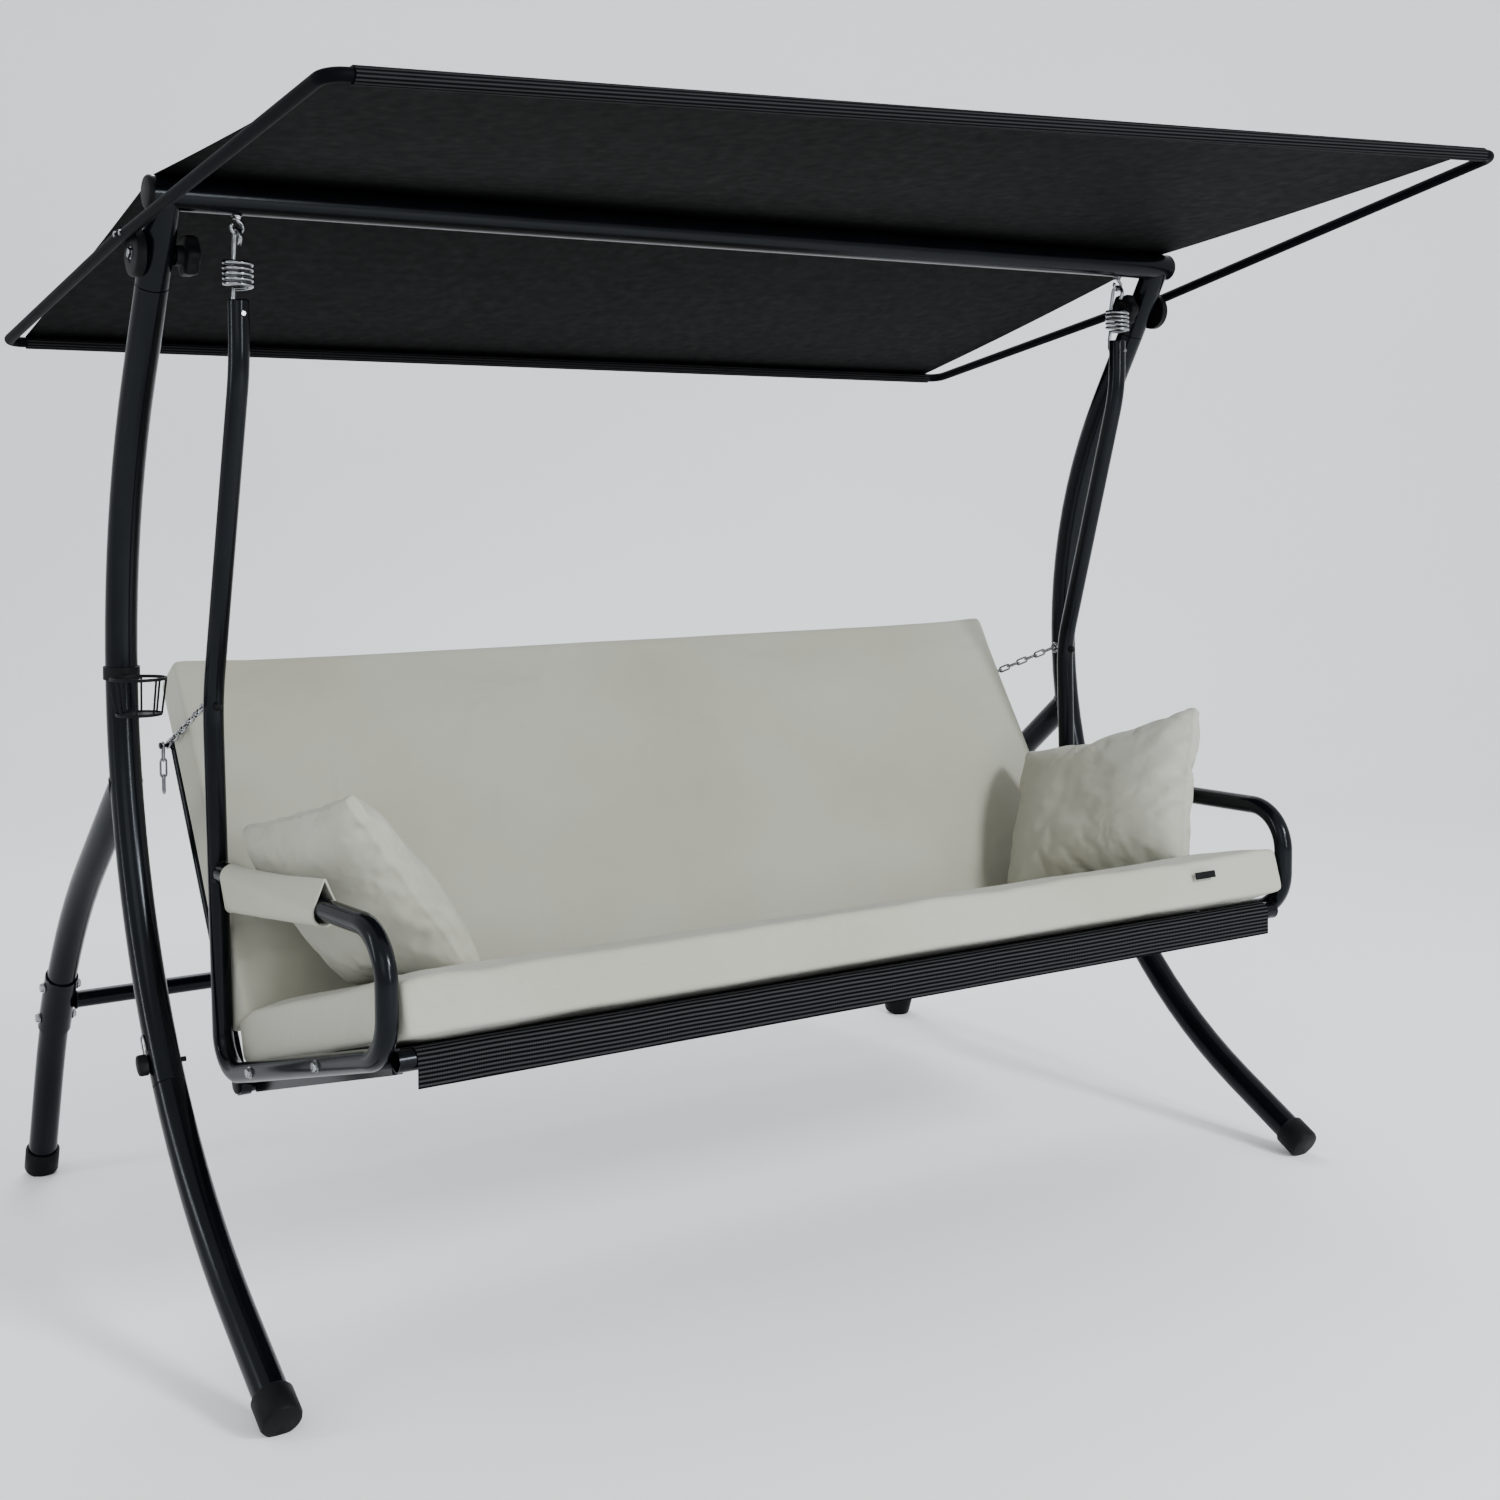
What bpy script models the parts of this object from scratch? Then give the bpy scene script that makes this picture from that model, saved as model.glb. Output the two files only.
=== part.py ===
"""Garden swing bench: a bowed steel stand, a sprung swing seat with a reclining back, and a tilting canopy.

Metres, +Z up. The bench faces -Y, its width runs along X, and left is -X, as someone in front of it sees it.
Places are given from the point on the floor under the middle of the crossbeam, and the whole bench is then
set back by beam_setback, which puts the frame's origin under the middle of its outline.
"""
import math

import bmesh
import bpy
from mathutils import Matrix, Vector

# Clearances
gap = 0.0003
leg_fit = 0.0008
hole_clearance = 0.0012
cut_overrun = 0.012

# Crossbeam
beam_height = 1.689
beam_diameter = 0.050
beam_wall = 0.0020
beam_overhang = 0.022
beam_setback = 0.055
beam_cap_depth = 0.008
beam_cap_plug = 0.020

# Legs, all of one tube size
leg_spacing = 1.988
leg_diameter = 0.050
leg_wall = 0.0018
front_leg_knee_behind = 0.630
front_leg_knee_height = 0.575
front_leg_bend_share = 0.8407
front_foot_ahead = 0.398
front_foot_height = 0.0200
rear_leg_branch_height = 0.800
rear_leg_knee_behind = 0.682
rear_leg_knee_height = 0.456
rear_leg_bend_share = 0.5691
rear_leg_lead = 0.010
rear_foot_behind = 0.853
rear_foot_height = 0.006
socket_length = 0.145
socket_start = 0.014
front_bolt_height = 0.390
rear_joint_height = 0.352
socket_plug = 0.030
joint_plug = 0.060
swage_step = 0.006
foot_cap_wall = 0.0040
foot_cap_rim_share = 0.85
foot_cap_depth = 0.046
foot_cap_end = 0.006
foot_cut_depth = 0.030
beam_cap_rim_share = 0.35
beam_cap_crown_share = 0.80
beam_cap_crown_height_share = 0.85

# Joint collars, crossbar and small hardware of the stand
collar_length = 0.120
collar_wall = 0.0030
crossbar_diameter = 0.030
crossbar_wall = 0.0015
crossbar_lead = 0.012
joint_bolt_offset = 0.036
joint_bolt_shank = 0.008
joint_bolt_head = 0.015
joint_bolt_head_height = 0.006
wing_knob_diameter = 0.034
wing_knob_depth = 0.016
wing_knob_waist_share = 0.55
wing_bolt_overhang = 0.008
bolt_crown_share = 0.64
bolt_crown_height_share = 0.85
bolt_rim_height_share = 0.40
bolt_tip_share = 0.50

# Cup holder on the left front leg
cup_height = 0.970
cup_diameter = 0.086
cup_depth = 0.060
cup_wall = 0.0020
cup_rim_height = 0.006
cup_window_count = 6
cup_window_share = 0.62
cup_floor = 0.0030
clamp_height = 0.022
clamp_wall = 0.0025
clamp_arm_length = 0.018
clamp_arm_width = 0.014
clamp_arm_height = 0.010

# Eyebolts and springs; the eyebolts' lower wires are the swing's axis
hanger_spacing = 1.776
swing_axis_drop = 0.051
beam_eye_bend = 0.0090
beam_eye_wire = 0.006
eye_nut_diameter = 0.014
spring_wire = 0.007
spring_diameter = 0.047
spring_turns = 5
spring_turn_gap = 0.0008
spring_top_drop = 0.0375
spring_hook_bend = 0.0130
spring_points_per_turn = 8
hanger_hook_drop = 0.0190
hanger_hook_overhang = 0.0070
spring_bend_room = 0.0022
beam_eye_start = math.radians(150.0)
beam_eye_end = math.radians(405.0)
spring_hook_start = math.radians(235.0)
spring_lead_in_share = 0.80
spring_lead_in_height_share = 0.55
spring_lead_out_share = 0.25
spring_lead_out_height_share = 0.35

# Swing side frames: hanger, seat rail and arm in one bent tube
side_tube_diameter = 0.032
side_tube_wall = 0.0015
side_top_drop = 0.063
side_upper_bend_drop = 0.0945
side_lower_bend_height = 0.930
side_lower_bend_behind = 0.150
side_rear_corner_behind = 0.132
side_rear_corner_height = 0.342
side_front_corner_ahead = 0.456
side_front_corner_height = 0.503
side_arm_height = 0.674
side_arm_rear_height = 0.662
side_upper_bend_radius = 0.300
side_corner_bend_radius = 0.055
side_arm_bend_radius = 0.074
side_toe_in = 0.026
arm_end_room = 0.0012

# Seat frame inside the side frames
seat_front_ahead = 0.4430
seat_front_height = 0.4925
seat_rail_diameter = 0.030
seat_rail_wall = 0.0015
seat_rail_end_room = 0.0016
seat_rear_behind = 0.125
seat_rear_height = 0.325
seat_bar_inset = 0.0070
seat_bar_height = 0.034
seat_bar_thickness = 0.015
seat_sling_side_room = 0.0105
sling_thickness = 0.0016
sling_room = 0.0008
seat_sling_flap = 0.022
seat_hem_turn = math.radians(200.0)
seat_front_turn = math.radians(-90.0)
seat_bolt_behind = -0.015
seat_bolt_ahead = 0.259
seat_bolt_shank = 0.008
seat_bolt_head = 0.016
seat_bolt_head_height = 0.006

# Backrest hoop on the rear seat rail
back_lean = math.radians(32.0)
back_length = 0.628
back_tube_diameter = 0.016
back_tube_wall = 0.0012
back_sleeve_end_room = 0.0008
back_corner_radius = 0.045
back_sleeve_wall = 0.0030
back_sleeve_length = 0.019
back_cross_rail_distance = 0.110
back_vent_diameter = 0.005
back_sling_inset = 0.059
back_hem_start = math.radians(-150.0)
back_panel_turn = math.radians(90.0)
back_hem_end = math.radians(330.0)
chain_pin_distance = 0.592
chain_pin_diameter = 0.006
chain_pin_head = 0.012
chain_pin_head_height = 0.003
chain_pin_collar = 0.003

# Chains
chain_wire = 0.004
chain_bite = 0.0008
chain_room = 0.0009
chain_link_width = 0.014
chain_links = 10
spare_links = 3
chain_eye_height = 0.922
chain_eye_bend = 0.0085
chain_eye_wire = 0.005
chain_eye_neck = 0.008
chain_nut_diameter = 0.014
chain_nut_height = 0.008
chain_nut_room = 0.0014
chain_nut_flat_share = 0.50
chain_nut_crown_share = 0.60
chain_nut_top_share = 1.10
chain_eye_neck_share = 0.60
chain_eye_start = math.radians(310.0)
chain_eye_end = math.radians(20.0)

# Seat cushion and back cushion
seat_cushion_width = 1.716
seat_cushion_length = 0.590
seat_cushion_thickness = 0.088
seat_cushion_overhang = 0.0380
seat_cushion_corner = 0.095
back_cushion_width = 1.724
back_cushion_start = 0.0745
back_cushion_length = 0.5975
back_cushion_thickness = 0.112
back_cushion_corner = 0.050
cushion_edge_depth = 0.130
cushion_draw_in = 0.006
cushion_side_share = 0.35
cushion_corner_share = 0.20
corner_inset_share = 0.50
least_corner_share = 0.40

# Throw pillows
pillow_width = 0.400
pillow_height = 0.310
pillow_thickness = 0.115
pillow_corner = 0.016
pillow_draw_in = 0.018
pillow_place = 0.7100
pillow_ahead = 0.110
pillow_centre_height = 0.6446
pillow_lean = math.radians(33.0)
pillow_turn = math.radians(12.0)
pillow_slope = math.radians(15.5)
pillow_edge_depth = 0.130

# Arm sleeves
sleeve_front_ahead = 0.210
sleeve_length = 0.300
sleeve_wall = 0.0030
sleeve_room = 0.0007
sleeve_drop = 0.052
sleeve_foot_radius = 0.010

# Canopy
canopy_pivot_behind = 0.042
canopy_pivot_drop = 0.084
canopy_arm_place = 1.043
canopy_arm_diameter = 0.018
canopy_arm_wall = 0.0012
canopy_arm_lift = 0.027
canopy_front_ahead = 0.746
canopy_front_rise_left = 0.040
canopy_front_rise_right = 0.122
canopy_rear_behind = 0.755
canopy_rear_drop_left = 0.170
canopy_rear_drop_right = 0.185
canopy_corner_radius = 0.024
canopy_fabric_half_width = 1.010
canopy_fabric_thickness = 0.0016
canopy_hem_room = 0.0012
canopy_stations = 7
canopy_hem_turn = math.radians(300.0)
disc_diameter = 0.070
disc_rim = 0.003
arm_stud_offset = 0.013
arm_stud_diameter = 0.006
arm_stud_overhang = 0.003
arm_stud_root = 0.004
pivot_stud_diameter = 0.010
pivot_bolt_head = 0.020
pivot_bolt_head_height = 0.005
pivot_bolt_crown_share = 0.72
pivot_stud_share = 0.60
star_knob_diameter = 0.065
star_knob_depth = 0.022
star_knob_lobes = 6
star_knob_lobe_share = 0.13
star_knob_shoulder_share = 0.88
star_knob_crown_share = 0.85
star_knob_rim_start_share = 0.35
star_knob_rim_end_share = 0.75
star_knob_hub_diameter = 0.030
star_knob_hub_depth = 0.010

# Facet counts and steps
leg_sides = 10
cap_sides = 14
side_tube_sides = 8
thin_tube_sides = 8
wire_sides = 5
link_sides = 4
round_sides = 16
bolt_sides = 6
hole_sides = 6
cushion_sides = 28
leg_arc_step = math.radians(14.0)
corner_arc_step = math.radians(24.0)
eye_points = 9
wing_points = 12
hem_steps = 7
seat_front_steps = 4
back_hem_steps = 9
ridge_steps = 2
sleeve_top_steps = 8
sleeve_foot_steps = 6
near_parallel_share = 0.9
edge_angle = math.radians(35.0)

# Sizes that follow from the ones above
leg_place = leg_spacing / 2
leg_radius = leg_diameter / 2
beam_radius = beam_diameter / 2
hanger_place = hanger_spacing / 2
side_tube_radius = side_tube_diameter / 2
seat_rail_radius = seat_rail_diameter / 2
back_tube_radius = back_tube_diameter / 2
arm_tube_radius = canopy_arm_diameter / 2
beam_half_length = leg_place + beam_overhang
swing_axis_height = beam_height - swing_axis_drop
spring_top_height = swing_axis_height - spring_top_drop
side_top_height = spring_top_height - side_top_drop
side_upper_bend_height = side_top_height - side_upper_bend_drop
canopy_pivot_height = beam_height - canopy_pivot_drop

x_axis = Vector((1, 0, 0))
y_axis = Vector((0, 1, 0))
z_axis = Vector((0, 0, 1))
sides = ((-1, "left"), (1, "right"))


# Bodies and objects

def clear_scene():
    for item in list(bpy.data.objects):
        bpy.data.objects.remove(item, do_unlink=True)


def material(name, colour, roughness, metallic=0.0):
    result = bpy.data.materials.new(name)
    result.use_nodes = True
    shader = result.node_tree.nodes["Principled BSDF"]
    shader.inputs["Base Color"].default_value = (*colour, 1.0)
    shader.inputs["Roughness"].default_value = roughness
    shader.inputs["Metallic"].default_value = metallic
    return result


def body(name, origin, carrier=None):
    """An empty on a body's joint axis, which carries the body's pieces."""
    empty = bpy.data.objects.new(name, None)
    bpy.context.scene.collection.objects.link(empty)
    empty["origin"] = origin
    if carrier is None:
        empty.location = origin
        empty["origin"] = Vector((0, 0, 0))
    else:
        empty.parent = carrier
        empty.location = origin - Vector(carrier["origin"])
    return empty


def piece(name, mesh, surface, carrier):
    """A finished object from a bmesh whose points are places from under the beam."""
    bmesh.ops.recalc_face_normals(mesh, faces=mesh.faces)
    data = bpy.data.meshes.new(name)
    mesh.to_mesh(data)
    mesh.free()
    data.materials.append(surface)
    data.shade_smooth()
    data.set_sharp_from_angle(angle=edge_angle)
    result = bpy.data.objects.new(name, data)
    bpy.context.scene.collection.objects.link(result)
    result.parent = carrier
    result.location = -Vector(carrier["origin"])
    return result


def cut(target, mesh, label):
    """Takes the mesh out of the target."""
    combine(target, mesh, label, "DIFFERENCE")


def weld(target, mesh, label):
    """Joins the mesh to the target as one solid."""
    combine(target, mesh, label, "UNION")


def combine(target, mesh, label, operation):
    bmesh.ops.recalc_face_normals(mesh, faces=mesh.faces)
    data = bpy.data.meshes.new(target.name + "_" + label)
    mesh.to_mesh(data)
    mesh.free()
    cutter = bpy.data.objects.new(target.name + "_" + label, data)
    bpy.context.scene.collection.objects.link(cutter)
    cutter.parent = target.parent
    cutter.location = target.location
    cutter.hide_render = True
    cutter.display_type = "WIRE"
    step = target.modifiers.new(label, "BOOLEAN")
    step.operation = operation
    step.solver = "EXACT"
    step.object = cutter


def drill(target, holes):
    """Bores round holes, each given by its middle, direction, diameter and length."""
    mesh = bmesh.new()
    for middle, direction, diameter, length in holes:
        start = middle - direction * (length / 2)
        turned(mesh, [(diameter / 2, 0), (diameter / 2, length)], start, direction, hole_sides)
    cut(target, mesh, "holes")


# Routes

def rounded(corners, radii, step=corner_arc_step):
    """A route through corners, with an arc of the given radius at each inner one."""
    route = [corners[0]]
    for before, corner, after, radius in zip(corners, corners[1:], corners[2:], radii):
        inward = (corner - before).normalized()
        outward = (after - corner).normalized()
        turn = inward.angle(outward)
        tangent = radius * math.tan(turn / 2)
        start = corner - inward * tangent
        towards_centre = (outward - inward * inward.dot(outward)).normalized()
        centre = start + towards_centre * radius
        count = max(1, math.ceil(turn / step))
        for index in range(count + 1):
            angle = turn * index / count
            offset = inward * math.sin(angle) - towards_centre * math.cos(angle)
            route.append(centre + offset * radius)
    route.append(corners[-1])
    return route


def stretch(route, start, end):
    """The part of a route between two distances from its first point."""
    points = [place_on(route, start)[0]]
    travelled = 0.0
    for here, there in zip(route, route[1:]):
        travelled += (there - here).length
        if start + gap < travelled < end - gap:
            points.append(there)
    points.append(place_on(route, end)[0])
    return points


def place_on(route, distance):
    """The place and direction at a distance along a route."""
    travelled = 0.0
    for here, there in zip(route, route[1:]):
        step = (there - here).length
        if distance <= travelled + step:
            return here.lerp(there, (distance - travelled) / step), (there - here) / step
        travelled += step
    return route[-1], (route[-1] - route[-2]).normalized()


def length_of(route):
    return sum((there - here).length for here, there in zip(route, route[1:]))


def crossing(route, height):
    """The distance along a falling route at which it passes a height."""
    travelled = 0.0
    for here, there in zip(route, route[1:]):
        step = (there - here).length
        if there.z <= height <= here.z:
            return travelled + step * (here.z - height) / (here.z - there.z)
        travelled += step
    return travelled


def ring_points(centre, first, second, radius, count, start=0.0, end=math.tau):
    """Points of an arc, turning from the first direction to the second."""
    points = []
    for index in range(count):
        angle = start + (end - start) * index / count
        points.append(centre + (first * math.cos(angle) + second * math.sin(angle)) * radius)
    return points


# Solids

def sweep(mesh, route, radius, sides, bore=0.0, closed=False):
    """A tube or rod along a route; a bore makes it hollow, and closed joins its ends.

    The radius and the bore can be lists with a value for each point.
    """
    count = len(route)
    radii = radius if isinstance(radius, list) else [radius] * count
    bores = bore if isinstance(bore, list) else [bore] * count
    directions = []
    for index, point in enumerate(route):
        incoming = (point - route[index - 1]).normalized() if index or closed else Vector()
        after = route[(index + 1) % count]
        outgoing = (after - point).normalized() if index < count - 1 or closed else Vector()
        directions.append((incoming + outgoing).normalized())
    reference = x_axis if abs(directions[0].dot(x_axis)) < near_parallel_share else z_axis
    across = (reference - directions[0] * reference.dot(directions[0])).normalized()
    rings = []
    for point, direction, outer, inner in zip(route, directions, radii, bores):
        across = (across - direction * across.dot(direction)).normalized()
        upward = direction.cross(across)
        rings.append([
            [mesh.verts.new(point + (across * math.cos(angle) + upward * math.sin(angle)) * size)
             for angle in (math.tau * side / sides for side in range(sides))]
            for size in ((outer, inner) if inner else (outer,))])
    pairs = list(zip(rings, rings[1:]))
    if closed:
        pairs.append((rings[-1], rings[0]))
    for here, there in pairs:
        for loop, next_loop in zip(here, there):
            skin(mesh, loop, next_loop)
    if closed:
        return
    for end in (rings[0], rings[-1]):
        if bore:
            skin(mesh, end[0], end[1])
        else:
            mesh.faces.new(end[0])


def swaged(mesh, route, joint, end, reach):
    """A leg tube whose first end is drawn in to plug into the tube above it."""
    bore = leg_radius - leg_wall
    small, small_bore = bore - gap, bore - gap - leg_wall
    neck = stretch(route, joint - reach, joint + gap / 2)
    shoulder = place_on(route, joint + 2 * gap)[0]
    rest = stretch(route, joint + swage_step, end)
    radii = [small] * len(neck) + [leg_radius] * (1 + len(rest))
    bores = [small_bore] * (len(neck) + 1) + [bore] * len(rest)
    sweep(mesh, neck + [shoulder] + rest, radii, leg_sides, bores)


def through_bolt(mesh, seat, direction, shank, head, head_height, grip, shoulder=None):
    """A bolt with its nut on; a shoulder given by its start and end keeps two tubes apart."""
    profile = [(0, -head_height), (head / 2 * bolt_crown_share, -head_height * bolt_crown_height_share),
               (head / 2, -head_height * bolt_rim_height_share), (head / 2, 0), (shank / 2, 0)]
    if shoulder:
        start, end = shoulder
        profile += [(shank / 2, start), (head / 2, start), (head / 2, end), (shank / 2, end)]
    nut_top = grip + head_height
    tip = nut_top + bolt_tip_share * head_height
    profile += [(shank / 2, grip), (head / 2, grip), (head / 2, nut_top), (shank / 2, nut_top),
                (shank / 2, tip), (0, tip)]
    turned(mesh, profile, seat, direction, bolt_sides)


def skin(mesh, loop, next_loop):
    """Faces between two loops of the same number of points."""
    count = len(loop)
    for index in range(count):
        after = (index + 1) % count
        mesh.faces.new((loop[index], loop[after], next_loop[after], next_loop[index]))


def turned(mesh, profile, base, direction, sides, ring=False):
    """A turned solid from radius and height pairs; ring closes the profile on itself."""
    direction = direction.normalized()
    reference = z_axis if abs(direction.z) < near_parallel_share else x_axis
    across = (reference - direction * reference.dot(direction)).normalized()
    upward = direction.cross(across)
    loops = []
    for radius, height in profile:
        centre = base + direction * height
        if radius == 0:
            loops.append([mesh.verts.new(centre)])
            continue
        loops.append([
            mesh.verts.new(centre + (across * math.cos(angle) + upward * math.sin(angle)) * radius)
            for angle in (math.tau * side / sides for side in range(sides))])
    pairs = list(zip(loops, loops[1:]))
    if ring:
        pairs.append((loops[-1], loops[0]))
    for loop, next_loop in pairs:
        if len(loop) == 1 or len(next_loop) == 1:
            point, rim = (loop[0], next_loop) if len(loop) == 1 else (next_loop[0], loop)
            for index in range(sides):
                mesh.faces.new((rim[index], rim[(index + 1) % sides], point))
        else:
            skin(mesh, loop, next_loop)
    if not ring:
        for end in (loops[0], loops[-1]):
            if len(end) > 1:
                mesh.faces.new(end)


def hung_sheet(mesh, lines, thickness):
    """A sheet of even thickness through flat lines that lie side by side.

    Both its faces are split along the same diagonals, so that a twisted sheet keeps its thickness.
    """
    loops = []
    for line in lines:
        loops.append([mesh.verts.new(point) for point in sheet_outline(line, thickness)])
    half = len(loops[0]) // 2
    for loop, next_loop in zip(loops, loops[1:]):
        for index in range(2 * half):
            after = (index + 1) % (2 * half)
            corners = [loop[index], loop[after], next_loop[after], next_loop[index]]
            if index < half:
                corners = corners[1:] + corners[:1]
            mesh.faces.new(corners[:3])
            mesh.faces.new((corners[0], corners[2], corners[3]))
    for edge in (loops[0], loops[-1]):
        for index in range(half - 1):
            mesh.faces.new((edge[index], edge[index + 1], edge[-index - 2], edge[-index - 1]))


def extruded(mesh, outline, travel):
    """A prism from a flat outline of places and the way it is drawn out."""
    first = [mesh.verts.new(point) for point in outline]
    last = [mesh.verts.new(point + travel) for point in outline]
    skin(mesh, first, last)
    mesh.faces.new(first)
    mesh.faces.new(last)


def block(mesh, centre, size, turn=Matrix.Identity(3)):
    """A box of a size, turned about its centre."""
    half = Vector(size) / 2
    outline = [centre + turn @ Vector((-half.x, y, z))
               for y, z in ((-half.y, -half.z), (half.y, -half.z), (half.y, half.z), (-half.y, half.z))]
    extruded(mesh, outline, turn @ Vector((2 * half.x, 0, 0)))


def sheet_outline(line, thickness):
    """The closed outline of a sheet of even thickness along a flat line in the Y-Z plane."""
    upper, lower = [], []
    for index, point in enumerate(line):
        before = line[max(index - 1, 0)]
        after = line[min(index + 1, len(line) - 1)]
        along = (after - before).normalized()
        normal = Vector((0, -along.z, along.y))
        upper.append(point + normal * (thickness / 2))
        lower.append(point - normal * (thickness / 2))
    return upper + lower[::-1]


def cushion_outline(half_width, half_length, corner, draw_in, inset, count):
    """One level of a cushion: a rounded rectangle whose sides pull in between the corners."""
    width, length = half_width - inset, half_length - inset
    radius = max(corner - inset * corner_inset_share, corner * least_corner_share)
    corner_end_share = cushion_side_share + cushion_corner_share
    points = []
    for index in range(count):
        angle = math.tau * (index + 0.5) / count
        quarter = int(angle / (math.pi / 2))
        swing = (angle - quarter * math.pi / 2) / (math.pi / 2)
        sign_x = 1 if quarter in (0, 3) else -1
        sign_y = 1 if quarter in (0, 1) else -1
        if quarter in (1, 3):
            swing = 1 - swing
        if swing < cushion_side_share:
            x, y = width, (length - radius) * swing / cushion_side_share
        elif swing < corner_end_share:
            turn = (swing - cushion_side_share) / cushion_corner_share * math.pi / 2
            x = width - radius + radius * math.cos(turn)
            y = length - radius + radius * math.sin(turn)
        else:
            x, y = (width - radius) * (1 - swing) / (1 - corner_end_share), length
        x_pull = draw_in * (1 - (y / length) ** 2) if abs(x) > width - radius / 2 else 0
        y_pull = draw_in * (1 - (x / width) ** 2) if abs(y) > length - radius / 2 else 0
        points.append((sign_x * (x - x_pull), sign_y * (y - y_pull)))
    return points


def cushion(mesh, size, corner, draw_in, edge_depth, section_shares, place, count):
    """A crowned cushion from levels of its outline; place turns and moves it to where it lies."""
    half_width, half_length, half_thickness = (measure / 2 for measure in size)
    loops = []
    for inset_share, height_share in section_shares:
        level = cushion_outline(half_width, half_length, corner, draw_in, edge_depth * inset_share, count)
        loops.append([
            mesh.verts.new(place @ Vector((x, y, half_thickness * height_share)))
            for x, y in level])
    for loop, next_loop in zip(loops, loops[1:]):
        skin(mesh, loop, next_loop)
    mesh.faces.new(loops[0])
    mesh.faces.new(loops[-1])


boxed_section_shares = (
    (1.00, -1.00), (0.55, -0.97), (0.24, -0.88), (0.09, -0.68), (0.02, -0.36), (0.00, 0.00),
    (0.02, 0.36), (0.09, 0.68), (0.24, 0.88), (0.55, 0.97), (1.00, 1.00))
pillow_section_shares = (
    (1.00, -1.00), (0.72, -0.92), (0.45, -0.76), (0.22, -0.50), (0.07, -0.22), (0.00, 0.00),
    (0.07, 0.22), (0.22, 0.50), (0.45, 0.76), (0.72, 0.92), (1.00, 1.00))


# Stand

def bowed(top, knee, foot, bend_share):
    """A leg's route, whose one long bend takes up a share of the shorter of its two straight sides."""
    inward, outward = knee - top, foot - knee
    tangent = min(inward.length, outward.length) * bend_share
    radius = tangent / math.tan(inward.angle(outward) / 2)
    return rounded([top, knee, foot], [radius], leg_arc_step)


def front_leg_route(side):
    x = side * leg_place
    top = Vector((x, 0, beam_height))
    knee = Vector((x, front_leg_knee_behind, front_leg_knee_height))
    foot = Vector((x, -front_foot_ahead, front_foot_height))
    return bowed(top, knee, foot, front_leg_bend_share)


def rear_leg_route(side):
    x = side * leg_place
    front_route = front_leg_route(side)
    branch = place_on(front_route, crossing(front_route, rear_leg_branch_height))[0]
    knee = Vector((x, rear_leg_knee_behind, rear_leg_knee_height))
    foot = Vector((x, rear_foot_behind, rear_foot_height))
    return bowed(branch, knee, foot, rear_leg_bend_share)


def front_joint(route):
    """The distance down a front leg at which its lower tube begins."""
    return crossing(route, front_bolt_height) + joint_bolt_offset


def make_crossbeam():
    """The beam with the two short leg sockets welded under it."""
    mesh = bmesh.new()
    ends = [Vector((side * beam_half_length, 0, beam_height)) for side in (-1, 1)]
    sweep(mesh, ends, beam_radius, cap_sides, beam_radius - beam_wall)
    beam = piece("crossbeam", mesh, frame_paint, bench)
    sockets = bmesh.new()
    holes = []
    for side, name in sides:
        socket = stretch(front_leg_route(side), socket_start, socket_length)
        sweep(sockets, socket, leg_radius, leg_sides, leg_radius - leg_wall)
        pivot = Vector((side * leg_place, canopy_pivot_behind, canopy_pivot_height))
        holes.append((pivot, x_axis, pivot_stud_diameter + 2 * hole_clearance, leg_diameter + cut_overrun))
        below = Vector((side * hanger_place, 0, beam_height - beam_radius))
        holes.append((below, z_axis, beam_eye_wire + 2 * hole_clearance, beam_radius))
    weld(beam, sockets, "sockets")
    room = bmesh.new()
    bore, rim = beam_radius - beam_wall - gap, beam_radius + gap
    profile = [(0, -beam_cap_plug - gap), (bore, -beam_cap_plug - gap), (bore, gap / 2), (rim, gap / 2),
               (rim, beam_cap_depth + gap), (0, beam_cap_depth + gap)]
    for end, side in zip(ends, (-1, 1)):
        turned(room, profile, end, x_axis * side, cap_sides)
    cut(beam, room, "cap_room")
    drill(beam, holes)


def make_beam_caps():
    bore = beam_radius - beam_wall - 2 * gap
    profile = [(0, -beam_cap_plug), (bore, -beam_cap_plug), (bore, gap), (beam_radius, gap),
               (beam_radius, beam_cap_depth * beam_cap_rim_share),
               (beam_radius * beam_cap_crown_share, beam_cap_depth * beam_cap_crown_height_share),
               (0, beam_cap_depth)]
    for side, name in sides:
        mesh = bmesh.new()
        turned(mesh, profile, Vector((side * beam_half_length, 0, beam_height)), x_axis * side, cap_sides)
        piece("beam_cap_" + name, mesh, black_plastic, bench)


def joint_hole(route, distance):
    """A bolt hole across a leg at a distance along it."""
    place = place_on(route, distance)[0]
    return place, x_axis, joint_bolt_shank + 2 * hole_clearance, leg_diameter + 2 * cut_overrun


def make_front_legs():
    for side, name in sides:
        route = front_leg_route(side)
        joint = front_joint(route)
        hole = joint_hole(route, joint - joint_bolt_offset)
        mesh = bmesh.new()
        swaged(mesh, route, socket_length, joint, socket_plug)
        drill(piece("front_leg_upper_" + name, mesh, frame_paint, bench), [hole])
        mesh = bmesh.new()
        swaged(mesh, route, joint, length_of(route) - foot_cap_end - gap, joint_plug)
        drill(piece("front_leg_lower_" + name, mesh, frame_paint, bench), [hole])


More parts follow.
